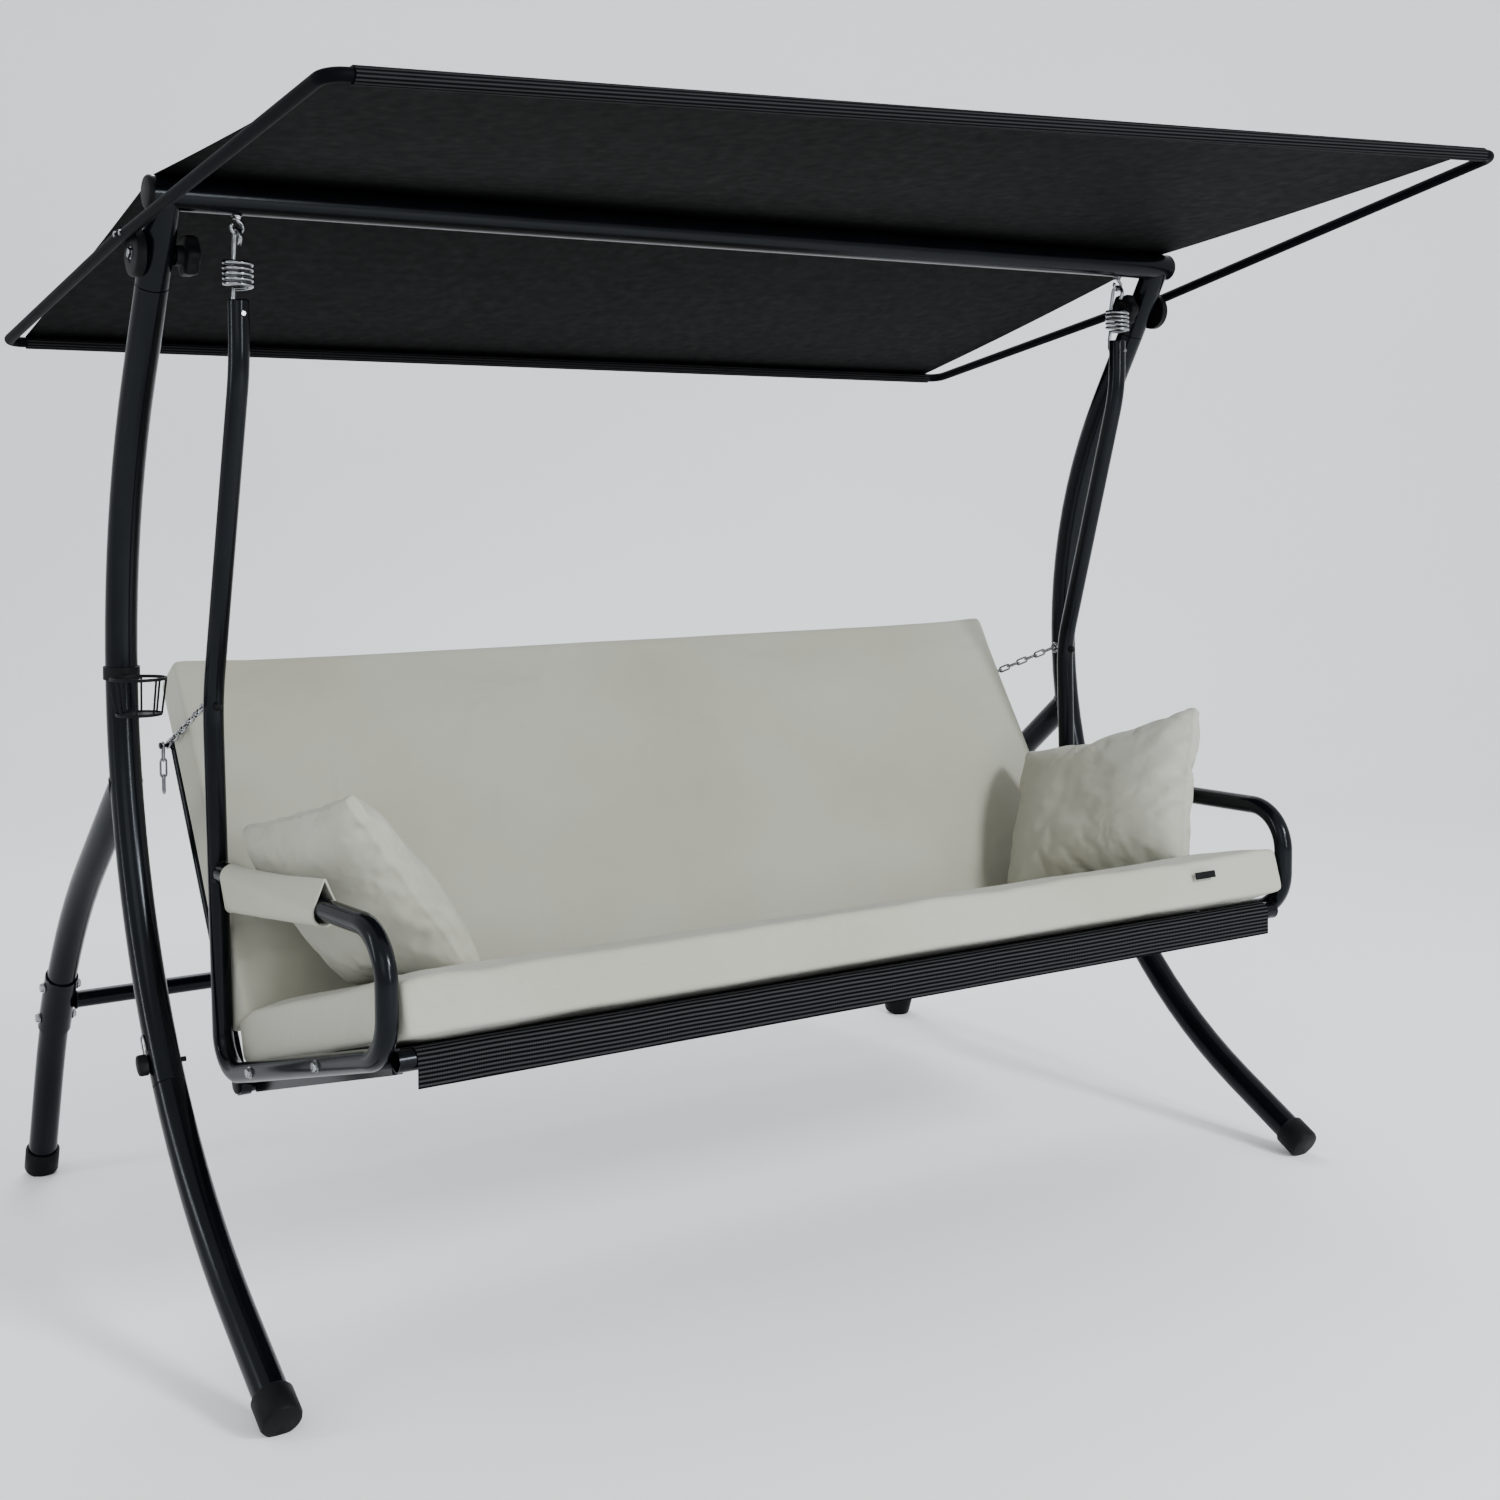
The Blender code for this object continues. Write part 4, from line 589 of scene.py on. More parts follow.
def sweep(mesh, route, radius, ring_sides, bore=0.0, closed=False):
    """A tube or rod along a route, which is given with a radius or with a list of them."""
    count = len(route)
    radii = radius if isinstance(radius, list) else [radius] * count
    rings = []
    across = None
    for index, point in enumerate(route):
        incoming = (point - route[index - 1]).normalized() if index or closed else Vector()
        following = route[(index + 1) % count]
        outgoing = (following - point).normalized() if index < count - 1 or closed else Vector()
        direction = (incoming + outgoing).normalized()
        if across is None:
            reference = x_axis if abs(direction.dot(x_axis)) < 0.9 else z_axis
            across = reference
        across = (across - direction * across.dot(direction)).normalized()
        upward = direction.cross(across)
        sizes = (radii[index], bore) if bore else (radii[index],)
        rings.append([circle(mesh, point, across, upward, size, ring_sides) for size in sizes])
    pairs = list(zip(rings, rings[1:])) + ([(rings[-1], rings[0])] if closed else [])
    for here, there in pairs:
        for loop, next_loop in zip(here, there):
            skin(mesh, loop, next_loop)
    if closed:
        return
    for end in (rings[0], rings[-1]):
        if bore:
            skin(mesh, end[0], end[1])
        else:
            mesh.faces.new(end[0])


def soft_ended(route, radius, rounding):
    """Radii for a route whose two ends are slightly rounded, with the points that this takes."""
    total = length_of(route)
    inner = stretch(route, rounding, total - rounding)
    points = [route[0]] + inner + [route[-1]]
    radii = [radius - rounding] + [radius] * len(inner) + [radius - rounding]
    return points, radii


def turned(mesh, profile, base, direction, ring_sides, ring=False):
    """A turned solid from radius and height pairs; ring closes the profile on itself."""
    direction = direction.normalized()
    across, upward = square_to(direction, z_axis, x_axis)
    loops = []
    for radius, height in profile:
        centre = base + direction * height
        if radius == 0:
            loops.append([mesh.verts.new(centre)])
            continue
        loops.append(circle(mesh, centre, across, upward, radius, ring_sides))
    pairs = list(zip(loops, loops[1:])) + ([(loops[-1], loops[0])] if ring else [])
    for loop, next_loop in pairs:
        if len(loop) == 1 or len(next_loop) == 1:
            point, rim = (loop[0], next_loop) if len(loop) == 1 else (next_loop[0], loop)
            for index in range(ring_sides):
                mesh.faces.new((rim[index], rim[(index + 1) % ring_sides], point))
        else:
            skin(mesh, loop, next_loop)
    if not ring:
        for end in (loops[0], loops[-1]):
            if len(end) > 1:
                mesh.faces.new(end)


def box(mesh, centre, size, turn=Matrix.Identity(3), bevel=0.0):
    """A box with rolled edges."""
    made = bmesh.ops.create_cube(mesh, size=1.0)
    for vertex in made["verts"]:
        vertex.co = centre + turn @ Vector(a * b for a, b in zip(vertex.co, size))
    if bevel:
        edges = {edge for vertex in made["verts"] for edge in vertex.link_edges}
        bmesh.ops.bevel(mesh, geom=list(edges), offset=bevel, segments=3, affect="EDGES", profile=0.5)


def weld_ring(mesh, centre, direction, radius):
    """A fillet of weld round a tube."""
    first, second = square_to(direction, x_axis, z_axis)
    points = []
    for index in range(weld_points):
        angle = math.tau * index / weld_points
        ripple = radius + weld_bead * weld_ripple * math.sin(angle * weld_ripple_count)
        points.append(centre + (first * math.cos(angle) + second * math.sin(angle)) * ripple)
    sweep(mesh, points, weld_bead, 8, closed=True)


# Stand

def front_leg_route(side):
    """From the beam down to the front foot."""
    x = side * leg_place
    return rounded([at(x, (0, beam_height)), at(x, front_knee), at(x, front_foot)], [front_bend])


def rear_leg_route(side):
    """From the front leg down to the rear foot."""
    x = side * leg_place
    return rounded([at(x, rear_branch), at(x, rear_knee), at(x, rear_foot)], [rear_bend])


def make_crossbeam():
    """The beam with the two sockets under it and a cap on each end."""
    mesh = bmesh.new()
    sweep(mesh, [x_axis * side * beam_half_length + z_axis * beam_height for side in (-1, 1)],
          beam_radius, tube_sides, beam_radius - beam_wall)
    for side, name in sides:
        socket = stretch(front_leg_route(side), socket_start, socket_length)
        sweep(mesh, socket, leg_radius, tube_sides, leg_radius - leg_wall)
    piece("crossbeam_tube", mesh, frame_paint, "stand", ["crossbeam"])
    for side, name in sides:
        mesh = bmesh.new()
        end = x_axis * side * beam_half_length + z_axis * beam_height
        profile = [
            (beam_radius - beam_wall - 0.001, -0.004),
            (beam_radius, 0.0003),
            (beam_radius + 0.0004, 0.001),
            (beam_radius, beam_cap_depth * 0.55),
            (beam_radius * 0.93, beam_cap_depth * 0.85),
            (beam_radius * 0.80, beam_cap_depth),
            (0, beam_cap_depth),
        ]
        turned(mesh, profile, end, x_axis * side, tube_sides)
        piece("beam_end_cap_" + name, mesh, black_plastic, "stand", ["beam_cap_" + name])


def make_front_legs():
    """Two tubes to a leg; the narrowed end of each plugs into what is above it."""
    for side, name in sides:
        route = front_leg_route(side)
        joint = crossing(route, front_bolt_height) + joint_bolt_offset
        spans = (("upper", socket_length + joint_line, joint),
                 ("lower", joint + joint_line, length_of(route) - foot_cap_end))
        for level, start, end in spans:
            mesh = bmesh.new()
            points, radii = soft_ended(stretch(route, start, end), leg_radius, tube_end_rounding)
            sweep(mesh, points, radii, tube_sides, leg_radius - leg_wall)
            neck = stretch(route, start - plug_reach, start + 0.004)
            sweep(mesh, neck, leg_radius - leg_wall - snug_gap, tube_sides)
            piece("front_leg_" + level + "_tube_" + name, mesh, frame_paint, "stand",
                  ["front_leg_" + level + "_" + name])


def make_rear_legs():
    """Two tubes to a leg, the upper one welded to the front leg."""
    for side, name in sides:
        route = rear_leg_route(side)
        joint = crossing(route, rear_joint_height)
        mesh = bmesh.new()
        sweep(mesh, stretch(route, rear_leg_lead, joint), leg_radius, tube_sides, leg_radius - leg_wall)
        front_route = front_leg_route(side)
        seat = place_on(front_route, crossing(front_route, rear_branch[1]))
        bead = coped_weld(route, seat)
        sweep(mesh, bead, weld_bead, 8, closed=True)
        piece("rear_leg_upper_tube_" + name, mesh, frame_paint, "stand", ["rear_leg_upper_" + name])
        mesh = bmesh.new()
        sweep(mesh, stretch(route, joint, length_of(route) - foot_cap_end), leg_radius, tube_sides,
              leg_radius - leg_wall)
        piece("rear_leg_lower_tube_" + name, mesh, frame_paint, "stand", ["rear_leg_lower_" + name])


def coped_weld(route, seat):
    """The closed line on which the rear leg's surface meets the front leg's."""
    start, direction = route[0], (route[1] - route[0]).normalized()
    centre, axis = seat
    first = x_axis
    second = direction.cross(first)
    points = []
    for index in range(56):
        angle = math.tau * index / 56
        foot = start + (first * math.cos(angle) + second * math.sin(angle)) * leg_radius
        offset = foot - centre
        offset -= axis * offset.dot(axis)
        run = direction - axis * direction.dot(axis)
        a = run.dot(run)
        b = 2 * offset.dot(run)
        c = offset.dot(offset) - leg_radius ** 2
        root = max(b * b - 4 * a * c, 0)
        points.append(foot + direction * ((-b + math.sqrt(root)) / (2 * a)))
    return points


def make_crossbar():
    """The bar between the rear legs with the collar at each end."""
    route = rear_leg_route(1)
    joint = crossing(route, rear_joint_height)
    place = place_on(route, joint)[0]
    mesh = bmesh.new()
    reach = leg_place - leg_radius - 0.002
    ends = [Vector((side * reach, place.y - crossbar_lead, place.z)) for side in (-1, 1)]
    sweep(mesh, ends, crossbar_radius, tube_sides, crossbar_radius - crossbar_wall)
    outer = leg_radius + snug_gap + collar_wall
    for side, name in sides:
        route = rear_leg_route(side)
        start = joint - collar_length / 2
        points, radii = soft_ended(stretch(route, start, start + collar_length), outer, collar_rounding)
        sweep(mesh, points, radii, tube_sides, leg_radius + snug_gap)
        collar_face = Vector((side * (leg_place - outer + weld_sink), place.y - crossbar_lead, place.z))
        weld_ring(mesh, collar_face, x_axis, crossbar_radius)
    piece("rear_crossbar_tube", mesh, frame_paint, "stand", ["rear_crossbar"])


def hex_bolt(mesh, seat, direction, across_flats, height, washer=True):
    """A chamfered hexagon head on its washer."""
    radius = across_flats / math.sqrt(3)
    start = seat
    if washer:
        washer_radius = across_flats * washer_share
        disc = [(0, 0), (washer_radius, 0), (washer_radius, washer_depth), (0, washer_depth)]
        turned(mesh, disc, seat, direction, 28)
        start = seat + direction * washer_depth
    head = [(0, 0), (radius, 0), (radius, height * 0.85), (radius * 0.86, height), (0, height)]
    turned(mesh, head, start, direction, 6)


def dome_nut(mesh, seat, direction, across_flats, height):
    """A hexagon nut closed by a dome."""
    radius = across_flats / math.sqrt(3)
    hexagon = [(0, 0), (radius, 0), (radius, height * 0.45), (radius * 0.9, height * 0.5)]
    turned(mesh, hexagon, seat, direction, 6)
    dome = [(radius * 0.84 * math.cos(angle), height * (0.5 + 0.5 * math.sin(angle)))
            for angle in (math.pi / 2 * index / 7 for index in range(7))]
    turned(mesh, dome + [(0, height)], seat, direction, 20)


def make_leg_hardware():
    """The bolts through the rear legs' collars, and the grips and clips of the front legs."""
    outer = leg_radius + snug_gap + collar_wall
    for side, name in sides:
        route = rear_leg_route(side)
        joint = crossing(route, rear_joint_height)
        for level, offset in (("upper", -joint_bolt_offset), ("lower", joint_bolt_offset)):
            place = place_on(route, joint + offset)[0]
            mesh = bmesh.new()
            for sign in (-1, 1):
                hex_bolt(mesh, place + x_axis * sign * outer, x_axis * sign, *joint_bolt_head)
            where = level + "_" + name
            piece("collar_bolt_" + where, mesh, zinc, "stand", ["rear_joint_bolt_" + where])
        make_leg_grip(side, name)


def make_leg_grip(side, name):
    """The winged grip in a front leg and the small wire clip below it."""
    route = front_leg_route(side)
    distance = crossing(route, front_bolt_height)
    place, direction = place_on(route, distance)
    outward = x_axis * side
    seat = place + outward * (leg_radius + 0.0005)
    mesh = bmesh.new()
    wing_grip(mesh, seat, direction, outward)
    bolt_end = [(0, 0), (0.0040, 0), (0.0040, 0.0075), (0, 0.0080)]
    turned(mesh, bolt_end, place - outward * leg_radius, -outward, 16)
    piece("wing_grip_" + name, mesh, black_plastic, "stand", ["wing_bolt_" + name])
    mesh = bmesh.new()
    hook = place + outward * (leg_radius + 0.0012) - direction * leg_clip_start
    sideways = direction.cross(outward)
    loop = [
        hook - sideways * leg_clip_half,
        hook - sideways * leg_clip_half - direction * 0.020,
        hook - sideways * 0.002 - direction * 0.026,
        hook + sideways * 0.005 - direction * 0.024,
        hook + sideways * leg_clip_half - direction * 0.014,
        hook + sideways * leg_clip_half + direction * 0.002,
    ]
    sweep(mesh, smooth_line(loop, 6), leg_clip_radius, 10)
    piece("leg_wire_clip_" + name, mesh, zinc, "stand")


def wing_grip(mesh, seat, direction, outward):
    """A moulded two-winged grip: narrow at its waist and rolled at its rim."""
    sideways = x_axis.cross(direction).normalized()
    count = 48
    levels = ((0.80, 0.0), (0.98, 0.0015), (1.0, 0.004), (1.0, 0.012), (0.93, 0.0150), (0.70, 0.0162))
    loops = []
    for share, depth in levels:
        loop = []
        for index in range(count):
            angle = math.tau * index / count
            radius = (wing_waist + wing_reach * math.cos(angle) ** 4) * share
            ray = direction * math.cos(angle) + sideways * math.sin(angle)
            loop.append(mesh.verts.new(seat + outward * depth + ray * radius))
        loops.append(loop)
    for loop, next_loop in zip(loops, loops[1:]):
        skin(mesh, loop, next_loop)
    mesh.faces.new(loops[0])
    mesh.faces.new(loops[-1])


def smooth_line(points, steps):
    """A soft line through points."""
    result = []
    for index in range(len(points) - 1):
        before = points[max(index - 1, 0)]
        here, there = points[index], points[index + 1]
        after = points[min(index + 2, len(points) - 1)]
        for step in range(steps):
            t = step / steps
            linear = (there - before) * t
            square = (2 * before - 5 * here + 4 * there - after) * t * t
            cubic = (3 * here - before - 3 * there + after) * t ** 3
            result.append(0.5 * ((2 * here) + linear + square + cubic))
    result.append(points[-1])
    return result


def make_foot_caps():
    """Plastic shoes, cut level with the floor."""
    bore = leg_radius + moulding_gap
    outer = bore + foot_cap_wall
    profile = [
        (0, 0),
        (outer * 0.80, 0),
        (outer * 0.93, -0.0015),
        (outer, -0.0060),
        (outer, -foot_cap_depth + 0.002),
        (outer - 0.0012, -foot_cap_depth),
        (bore, -foot_cap_depth),
        (bore, -foot_cap_end),
        (0, -foot_cap_end),
    ]
    for side, name in sides:
        for end_name, route in (("front", front_leg_route(side)), ("rear", rear_leg_route(side))):
            end, direction = place_on(route, length_of(route))
            mesh = bmesh.new()
            turned(mesh, profile, end, direction, 48)
            everything = mesh.verts[:] + mesh.edges[:] + mesh.faces[:]
            cut = bmesh.ops.bisect_plane(mesh, geom=everything, plane_co=(0, 0, 0), plane_no=(0, 0, -1),
                                         clear_outer=True)
            rim = [item for item in cut["geom_cut"] if isinstance(item, bmesh.types.BMEdge)]
            bmesh.ops.holes_fill(mesh, edges=rim)
            where = end_name + "_" + name
            piece("foot_shoe_" + where, mesh, black_plastic, "stand", ["foot_cap_" + where])


def make_cup_holder():
    """A basket of two rings and posts, on a clip round the left front leg."""
    route = front_leg_route(-1)
    place, direction = place_on(route, crossing(route, cup_height))
    inner = leg_radius + moulding_gap
    centre = Vector((place.x, place.y - inner - clip_wall - cup_gap - cup_radius, cup_height - cup_depth))
    mesh = bmesh.new()
    inside = cup_radius - cup_wall
    rim = [(inside, cup_depth - cup_rim), (cup_radius, cup_depth - cup_rim + cup_edge),
           (cup_radius, cup_depth - cup_edge), (inside, cup_depth)]
    foot = cup_radius * cup_foot_share
    base = [(0, 0), (foot - 0.001, 0), (foot, 0.0010), (foot, 0.0045), (foot - cup_wall, 0.0050),
            (foot - cup_wall, cup_floor), (0, cup_floor)]
    turned(mesh, rim, centre, z_axis, 64, ring=True)
    turned(mesh, base, centre, z_axis, 64)
    for index in range(cup_posts):
        angle = math.tau * (index + 0.5) / cup_posts
        outward = Vector((math.cos(angle), math.sin(angle), 0))
        low = centre + outward * (foot - cup_wall / 2) + z_axis * 0.003
        high = centre + outward * (cup_radius - cup_wall * 0.6) + z_axis * (cup_depth - cup_rim / 2)
        sweep(mesh, [low, low.lerp(high, 0.5), high], cup_post_width / 2, 10)
    clip = [(inner, -clip_height / 2), (inner + clip_wall, -clip_height / 2 + 0.0008),
            (inner + clip_wall, clip_height / 2 - 0.0008), (inner, clip_height / 2)]
    turned(mesh, clip, place, direction, 48, ring=True)
    arm_centre = Vector((place.x, centre.y + cup_radius + 0.009, place.z - clip_arm[2] / 2))
    box(mesh, arm_centre, clip_arm, bevel=0.0012)
    piece("cup_basket", mesh, black_plastic, "stand", ["cup_holder"])


# Suspension

def make_beam_eyebolts():
    """The eyes under the beam that the springs hang in."""
    for side, name in sides:
        x = side * hanger_place
        centre = Vector((x, 0, swing_axis_height + eye_bend))
        eye = ring_points(centre, x_axis, z_axis, eye_bend, 26, math.radians(150), math.radians(405))
        neck = centre + z_axis * (eye_bend + eye_wire / 2)
        mesh = bmesh.new()
        top = Vector((x, 0, beam_height - beam_radius + 0.004))
        rise = centre + Vector((eye_bend * 0.25, 0, eye_bend * 1.05))
        sweep(mesh, eye + [rise, neck, top], eye_wire / 2, wire_sides)
        for turn in range(thread_turns):
            height = neck.z + 0.001 + turn * thread_pitch
            if height < top.z:
                thread = ring_points(Vector((x, 0, height)), x_axis, y_axis, eye_wire / 2, 20)
                sweep(mesh, thread, thread_radius, 6, closed=True)
        hex_bolt(mesh, Vector((x, 0, beam_height - beam_radius - 0.0002)), -z_axis, *eyebolt_nut)
        piece("beam_eye_" + name, mesh, zinc, "stand", ["beam_eyebolt_" + name])


def spring_route(side, turn_points):
    """The spring's wire: hook over the eye, coil, and hook through the hanger."""
    x = side * hanger_place
    coil_radius = (spring_diameter - spring_wire) / 2
    crest = swing_axis_height + eye_wire / 2 + spring_wire / 2 + snug_gap
    hook_centre = Vector((x, 0, crest - spring_hook_bend))
    upper_hook = ring_points(hook_centre, y_axis, z_axis, spring_hook_bend, 22, math.radians(235), 0)
    coil_drop = (spring_wire + spring_turn_gap) * spring_turns
    top = spring_top_height - spring_wire / 2
    count = spring_turns * turn_points
    coil = []
    for index in range(count + 1):
        angle = math.pi / 2 + math.tau * index / turn_points
        coil.append(Vector((x + coil_radius * math.cos(angle), coil_radius * math.sin(angle),
                            top - coil_drop * index / count)))
    lead_in = Vector((x, coil_radius * 0.80, top + (hook_centre.z - top) * 0.55))
    bottom = top - coil_drop
    level = side_top_height - hanger_hook_drop
    lead_out = Vector((x, coil_radius + spring_wire * 0.25, bottom - (bottom - level) * 0.35))
    turn = Vector((x, coil_radius + spring_wire * 0.25, level + spring_wire))
    through = Vector((x, side_radius + 0.0022, level))
    out = Vector((x, -side_radius - hanger_hook_overhang, level))
    return upper_hook + [lead_in] + coil + [lead_out, turn, through, out]


def make_springs():
    """Two springs wound of round wire."""
    for side, name in sides:
        mesh = bmesh.new()
        sweep(mesh, spring_route(side, 30), spring_wire / 2, wire_sides)
        spring = piece("coil_spring_" + name, mesh, zinc, None, ["spring_" + name])
        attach(spring, "suspension")


# Swing side frames and seat frame

def side_place(side, behind):
    """How far across a side frame lies at a depth; it leans inwards towards the front."""
    share = (side_straight_behind - behind) / (side_straight_behind + side_front_ahead)
    return side * (hanger_place - side_toe_in * max(share, 0))


def side_frame_route(side):
    """Hanger, seat rail and arm as one bent line."""
    corners = [Vector((0, *corner)) for corner in side_corners + (arm_end,)]
    route = rounded(corners, side_bends)
    for index, point in enumerate(route):
        hanging = index < 2 or point.z > 0.706
        point.x = side * hanger_place if hanging else side_place(side, point.y)
    return route


def rail_height(behind):
    """The height of the side frames' seat rail at a depth."""
    rear, front = side_corners[3], side_corners[4]
    return rear[1] + (front[1] - rear[1]) * (rear[0] - behind) / (rear[0] - front[0])


def make_side_frames():
    """Each side frame: one bent tube, plugged at its top and welded at its arm's end."""
    for side, name in sides:
        route = side_frame_route(side)
        mesh = bmesh.new()
        sweep(mesh, route, side_radius, tube_sides, side_radius - side_wall)
        end = route[-1]
        weld_ring(mesh, end + y_axis * 0.0004, y_axis, side_radius)
        top = route[0]
        plug = [
            (0, 0.0025),
            (side_radius * 0.9, 0.0025),
            (side_radius - snug_gap, 0.0012),
            (side_radius, 0),
            (side_radius - side_wall, -0.004),
            (0, -0.004),
        ]
        turned(mesh, plug, top, z_axis, tube_sides)
        piece("side_frame_tube_" + name, mesh, frame_paint, "swing", ["side_frame_" + name])
        make_seat_bolts(side, name)


def make_seat_bolts(side, name):
    """The bolts that hold the seat's side bar to its side frame, each with a spacer between the two."""
    outward = x_axis * side
    for end_name, behind in seat_bolt_places:
        x = side_place(side, behind)
        seat = Vector((x + side * side_radius * 0.98, behind, rail_height(behind)))
        inner = Vector((side * seat_bolt_end, behind, rail_height(behind)))
        shank = abs(seat.x) - seat_bolt_end
        spacer = abs(x) - side_radius - (seat_bolt_end + spacer_play)
        mesh = bmesh.new()
        hex_bolt(mesh, seat, outward, *seat_bolt_head)
        turned(mesh, [(0, 0), (0.0040, 0), (0.0040, shank), (0, shank)], inner, outward, 16)
        ring = [(0.0045, spacer_start), (0.0085, spacer_start), (0.0085, spacer), (0.0045, spacer)]
        turned(mesh, ring, inner, outward, 24, ring=True)
        hex_bolt(mesh, inner, -outward, *seat_bolt_nut)
        where = end_name + "_" + name
        piece("frame_bolt_" + where, mesh, zinc, "swing", ["seat_bolt_" + where])


def make_seat_rails():
    """The rails in front and behind, with the end caps that show."""
    for name, place, half in (("front", seat_front, seat_front_half), ("rear", seat_rear, seat_rear_half)):
        mesh = bmesh.new()
        sweep(mesh, [at(side * half, place) for side in (-1, 1)], seat_rail_radius, tube_sides,
              seat_rail_radius - seat_rail_wall)
        piece("seat_" + name + "_tube", mesh, frame_paint, "swing", ["seat_" + name + "_rail"])
    profile = [
        (seat_rail_radius - seat_rail_wall, -0.006),
        (seat_rail_radius + snug_gap, 0.0002),
        (seat_rail_radius, 0.0030),
        (seat_rail_radius * 0.85, 0.0042),
        (0, 0.0046),
    ]
    rail_ends = (
        (seat_front, seat_front_half, 1, "front_right"),
        (seat_rear, seat_rear_half, -1, "rear_left"),
        (seat_rear, seat_rear_half, 1, "rear_right"),
    )
    for place, half, side, where in rail_ends:
        mesh = bmesh.new()
        turned(mesh, profile, at(side * half, place), x_axis * side, tube_sides)
        piece("seat_rail_end_" + where, mesh, black_plastic, "swing")


# Woven sheets

def top_tangent(first, first_radius, second, second_radius):
    """The angle at which a line laid over two tubes leaves them."""
    span = second - first
    slope = math.atan2(span.z, -span.y)
    return slope + math.asin((second_radius - first_radius) / math.hypot(span.y, span.z))


def wrap(centre, radius, start, end, count):
    """Points round a tube that lies across the bench, by angles from its top."""
    return [centre + Vector((0, math.sin(angle), math.cos(angle))) * radius
            for angle in (start + (end - start) * index / count for index in range(count + 1))]


def filled(points, longest):
    """The same line with more points wherever two lie further apart than longest."""
    result = [points[0]]
    for here, there in zip(points, points[1:]):
        count = max(1, math.ceil((there - here).length / longest))
        for index in range(1, count + 1):
            result.append(here.lerp(there, index / count))
    return result


def woven_sheet(name, lines, thickness, surface, body, stands_for=()):
    """A thin closed sheet through lines side by side, with its flat measures as its UV map."""
    mesh = bmesh.new()
    flat = mesh.loops.layers.uv.new("flat")
    count = len(lines[0])
    outer, inner = [], []
    measures = []
    for line in lines:
        travelled = [0.0]
        for here, there in zip(line, line[1:]):
            travelled.append(travelled[-1] + (there - here).length)
        measures.append(travelled)
        normals = []
        for index, point in enumerate(line):
            along = (line[min(index + 1, count - 1)] - line[max(index - 1, 0)]).normalized()
            normals.append(Vector((0, -along.z, along.y)).normalized() * (thickness / 2))
        outer.append([mesh.verts.new(point + normal) for point, normal in zip(line, normals)])
        inner.append([mesh.verts.new(point - normal) for point, normal in zip(line, normals)])

    def face(corners):
        made = mesh.faces.new([table[station][index] for table, station, index in corners])
        for loop, (table, station, index) in zip(made.loops, corners):
            loop[flat].uv = (lines[station][index].x, measures[station][index])

    for station in range(len(lines) - 1):
        for index in range(count - 1):
            for table in (outer, inner):
                face([(table, station, index), (table, station + 1, index), (table, station + 1, index + 1),
                      (table, station, index + 1)])
        for index in (0, count - 1):
            face([(outer, station, index), (outer, station + 1, index), (inner, station + 1, index),
                  (inner, station, index)])
    for station in (0, len(lines) - 1):
        for index in range(count - 1):
            face([(outer, station, index), (outer, station, index + 1), (inner, station, index + 1),
                  (inner, station, index)])
    return piece(name, mesh, surface, body, stands_for, sharp=60)


def stations(half, count):
    """Even places across from one edge of a sheet to the other."""
    return [half * (2 * index / (count - 1) - 1) for index in range(count)]


def make_seat_sling():
    """The seat's sheet: round the rear rail, over the front one, and down in a flap."""
    front, rear = at(0, seat_front), at(0, seat_rear)
    radius = seat_rail_radius + sling_room + sling_thickness / 2
    slope = top_tangent(rear, radius, front, radius)
    rear_turn = wrap(rear, radius, math.radians(200), slope, 16)
    front_turn = wrap(front, radius, slope, math.radians(-90), 12)
    line = rear_turn + front_turn
    line.append(line[-1] - z_axis * (seat_rail_radius + seat_sling_flap))
    line = filled(line, 0.02)
    lines = []
    for x in stations(seat_sling_half, 61):
        lines.append([point + x_axis * x + y_axis * 0.0009 * noise.noise(Vector((x * 9, point.z * 20, 0)))
                      for point in line])
    sling = woven_sheet("seat_sheet", lines, sling_thickness, seat_mesh, "swing", ["seat_sling"])


def back_directions():
    """The directions up the leaning backrest and out of its rear face."""
    up = Vector((0, math.sin(back_lean), math.cos(back_lean)))
    rearward = Vector((0, math.cos(back_lean), -math.sin(back_lean)))
    return up, rearward


def make_backrest():
    """The hoop with the sleeves it turns in and the pins that its chains hang on."""
    up = back_directions()[0]
    pivot_place = at(0, seat_rear)
    top = pivot_place + up * back_length
    start = pivot_place + up * (seat_rail_radius + sleeve_wall / 2)
    reach = x_axis * back_tube_place
    route = rounded([start - reach, top - reach, top + reach, start + reach], [back_corner, back_corner])
    mesh = bmesh.new()
    sweep(mesh, route, back_tube_radius, 28)
    for side, name in sides:
        inner = pivot_place + x_axis * side * (back_tube_place - sleeve_length / 2)
        bore = seat_rail_radius + snug_gap
        profile = [(bore, 0), (bore + sleeve_wall, 0.0006), (bore + sleeve_wall, sleeve_length - 0.0006),
                   (bore, sleeve_length)]
        turned(mesh, profile, inner, x_axis * side, 40, ring=True)
        weld_ring(mesh, start - up * 0.0006 + x_axis * side * back_tube_place, up, back_tube_radius)
        pin = pin_place(side)
        seat = Vector((side * (back_tube_place + back_tube_radius - 0.002), pin.y, pin.z))
        reach_out = tail_plane + 0.0035 - abs(seat.x)
        pin_shape = [
            (0, 0),
            (0.006, 0),
            (0.006, 0.0045),
            (chain_pin_radius, 0.0050),
            (chain_pin_radius, reach_out),
            (0.0058, reach_out),
            (0.0058, reach_out + 0.002),
            (0.0045, reach_out + 0.003),
            (0, reach_out + 0.003),
        ]
        turned(mesh, pin_shape, seat, x_axis * side, 20)
    piece("backrest_tube", mesh, frame_paint, "backrest", ["backrest_hoop"])


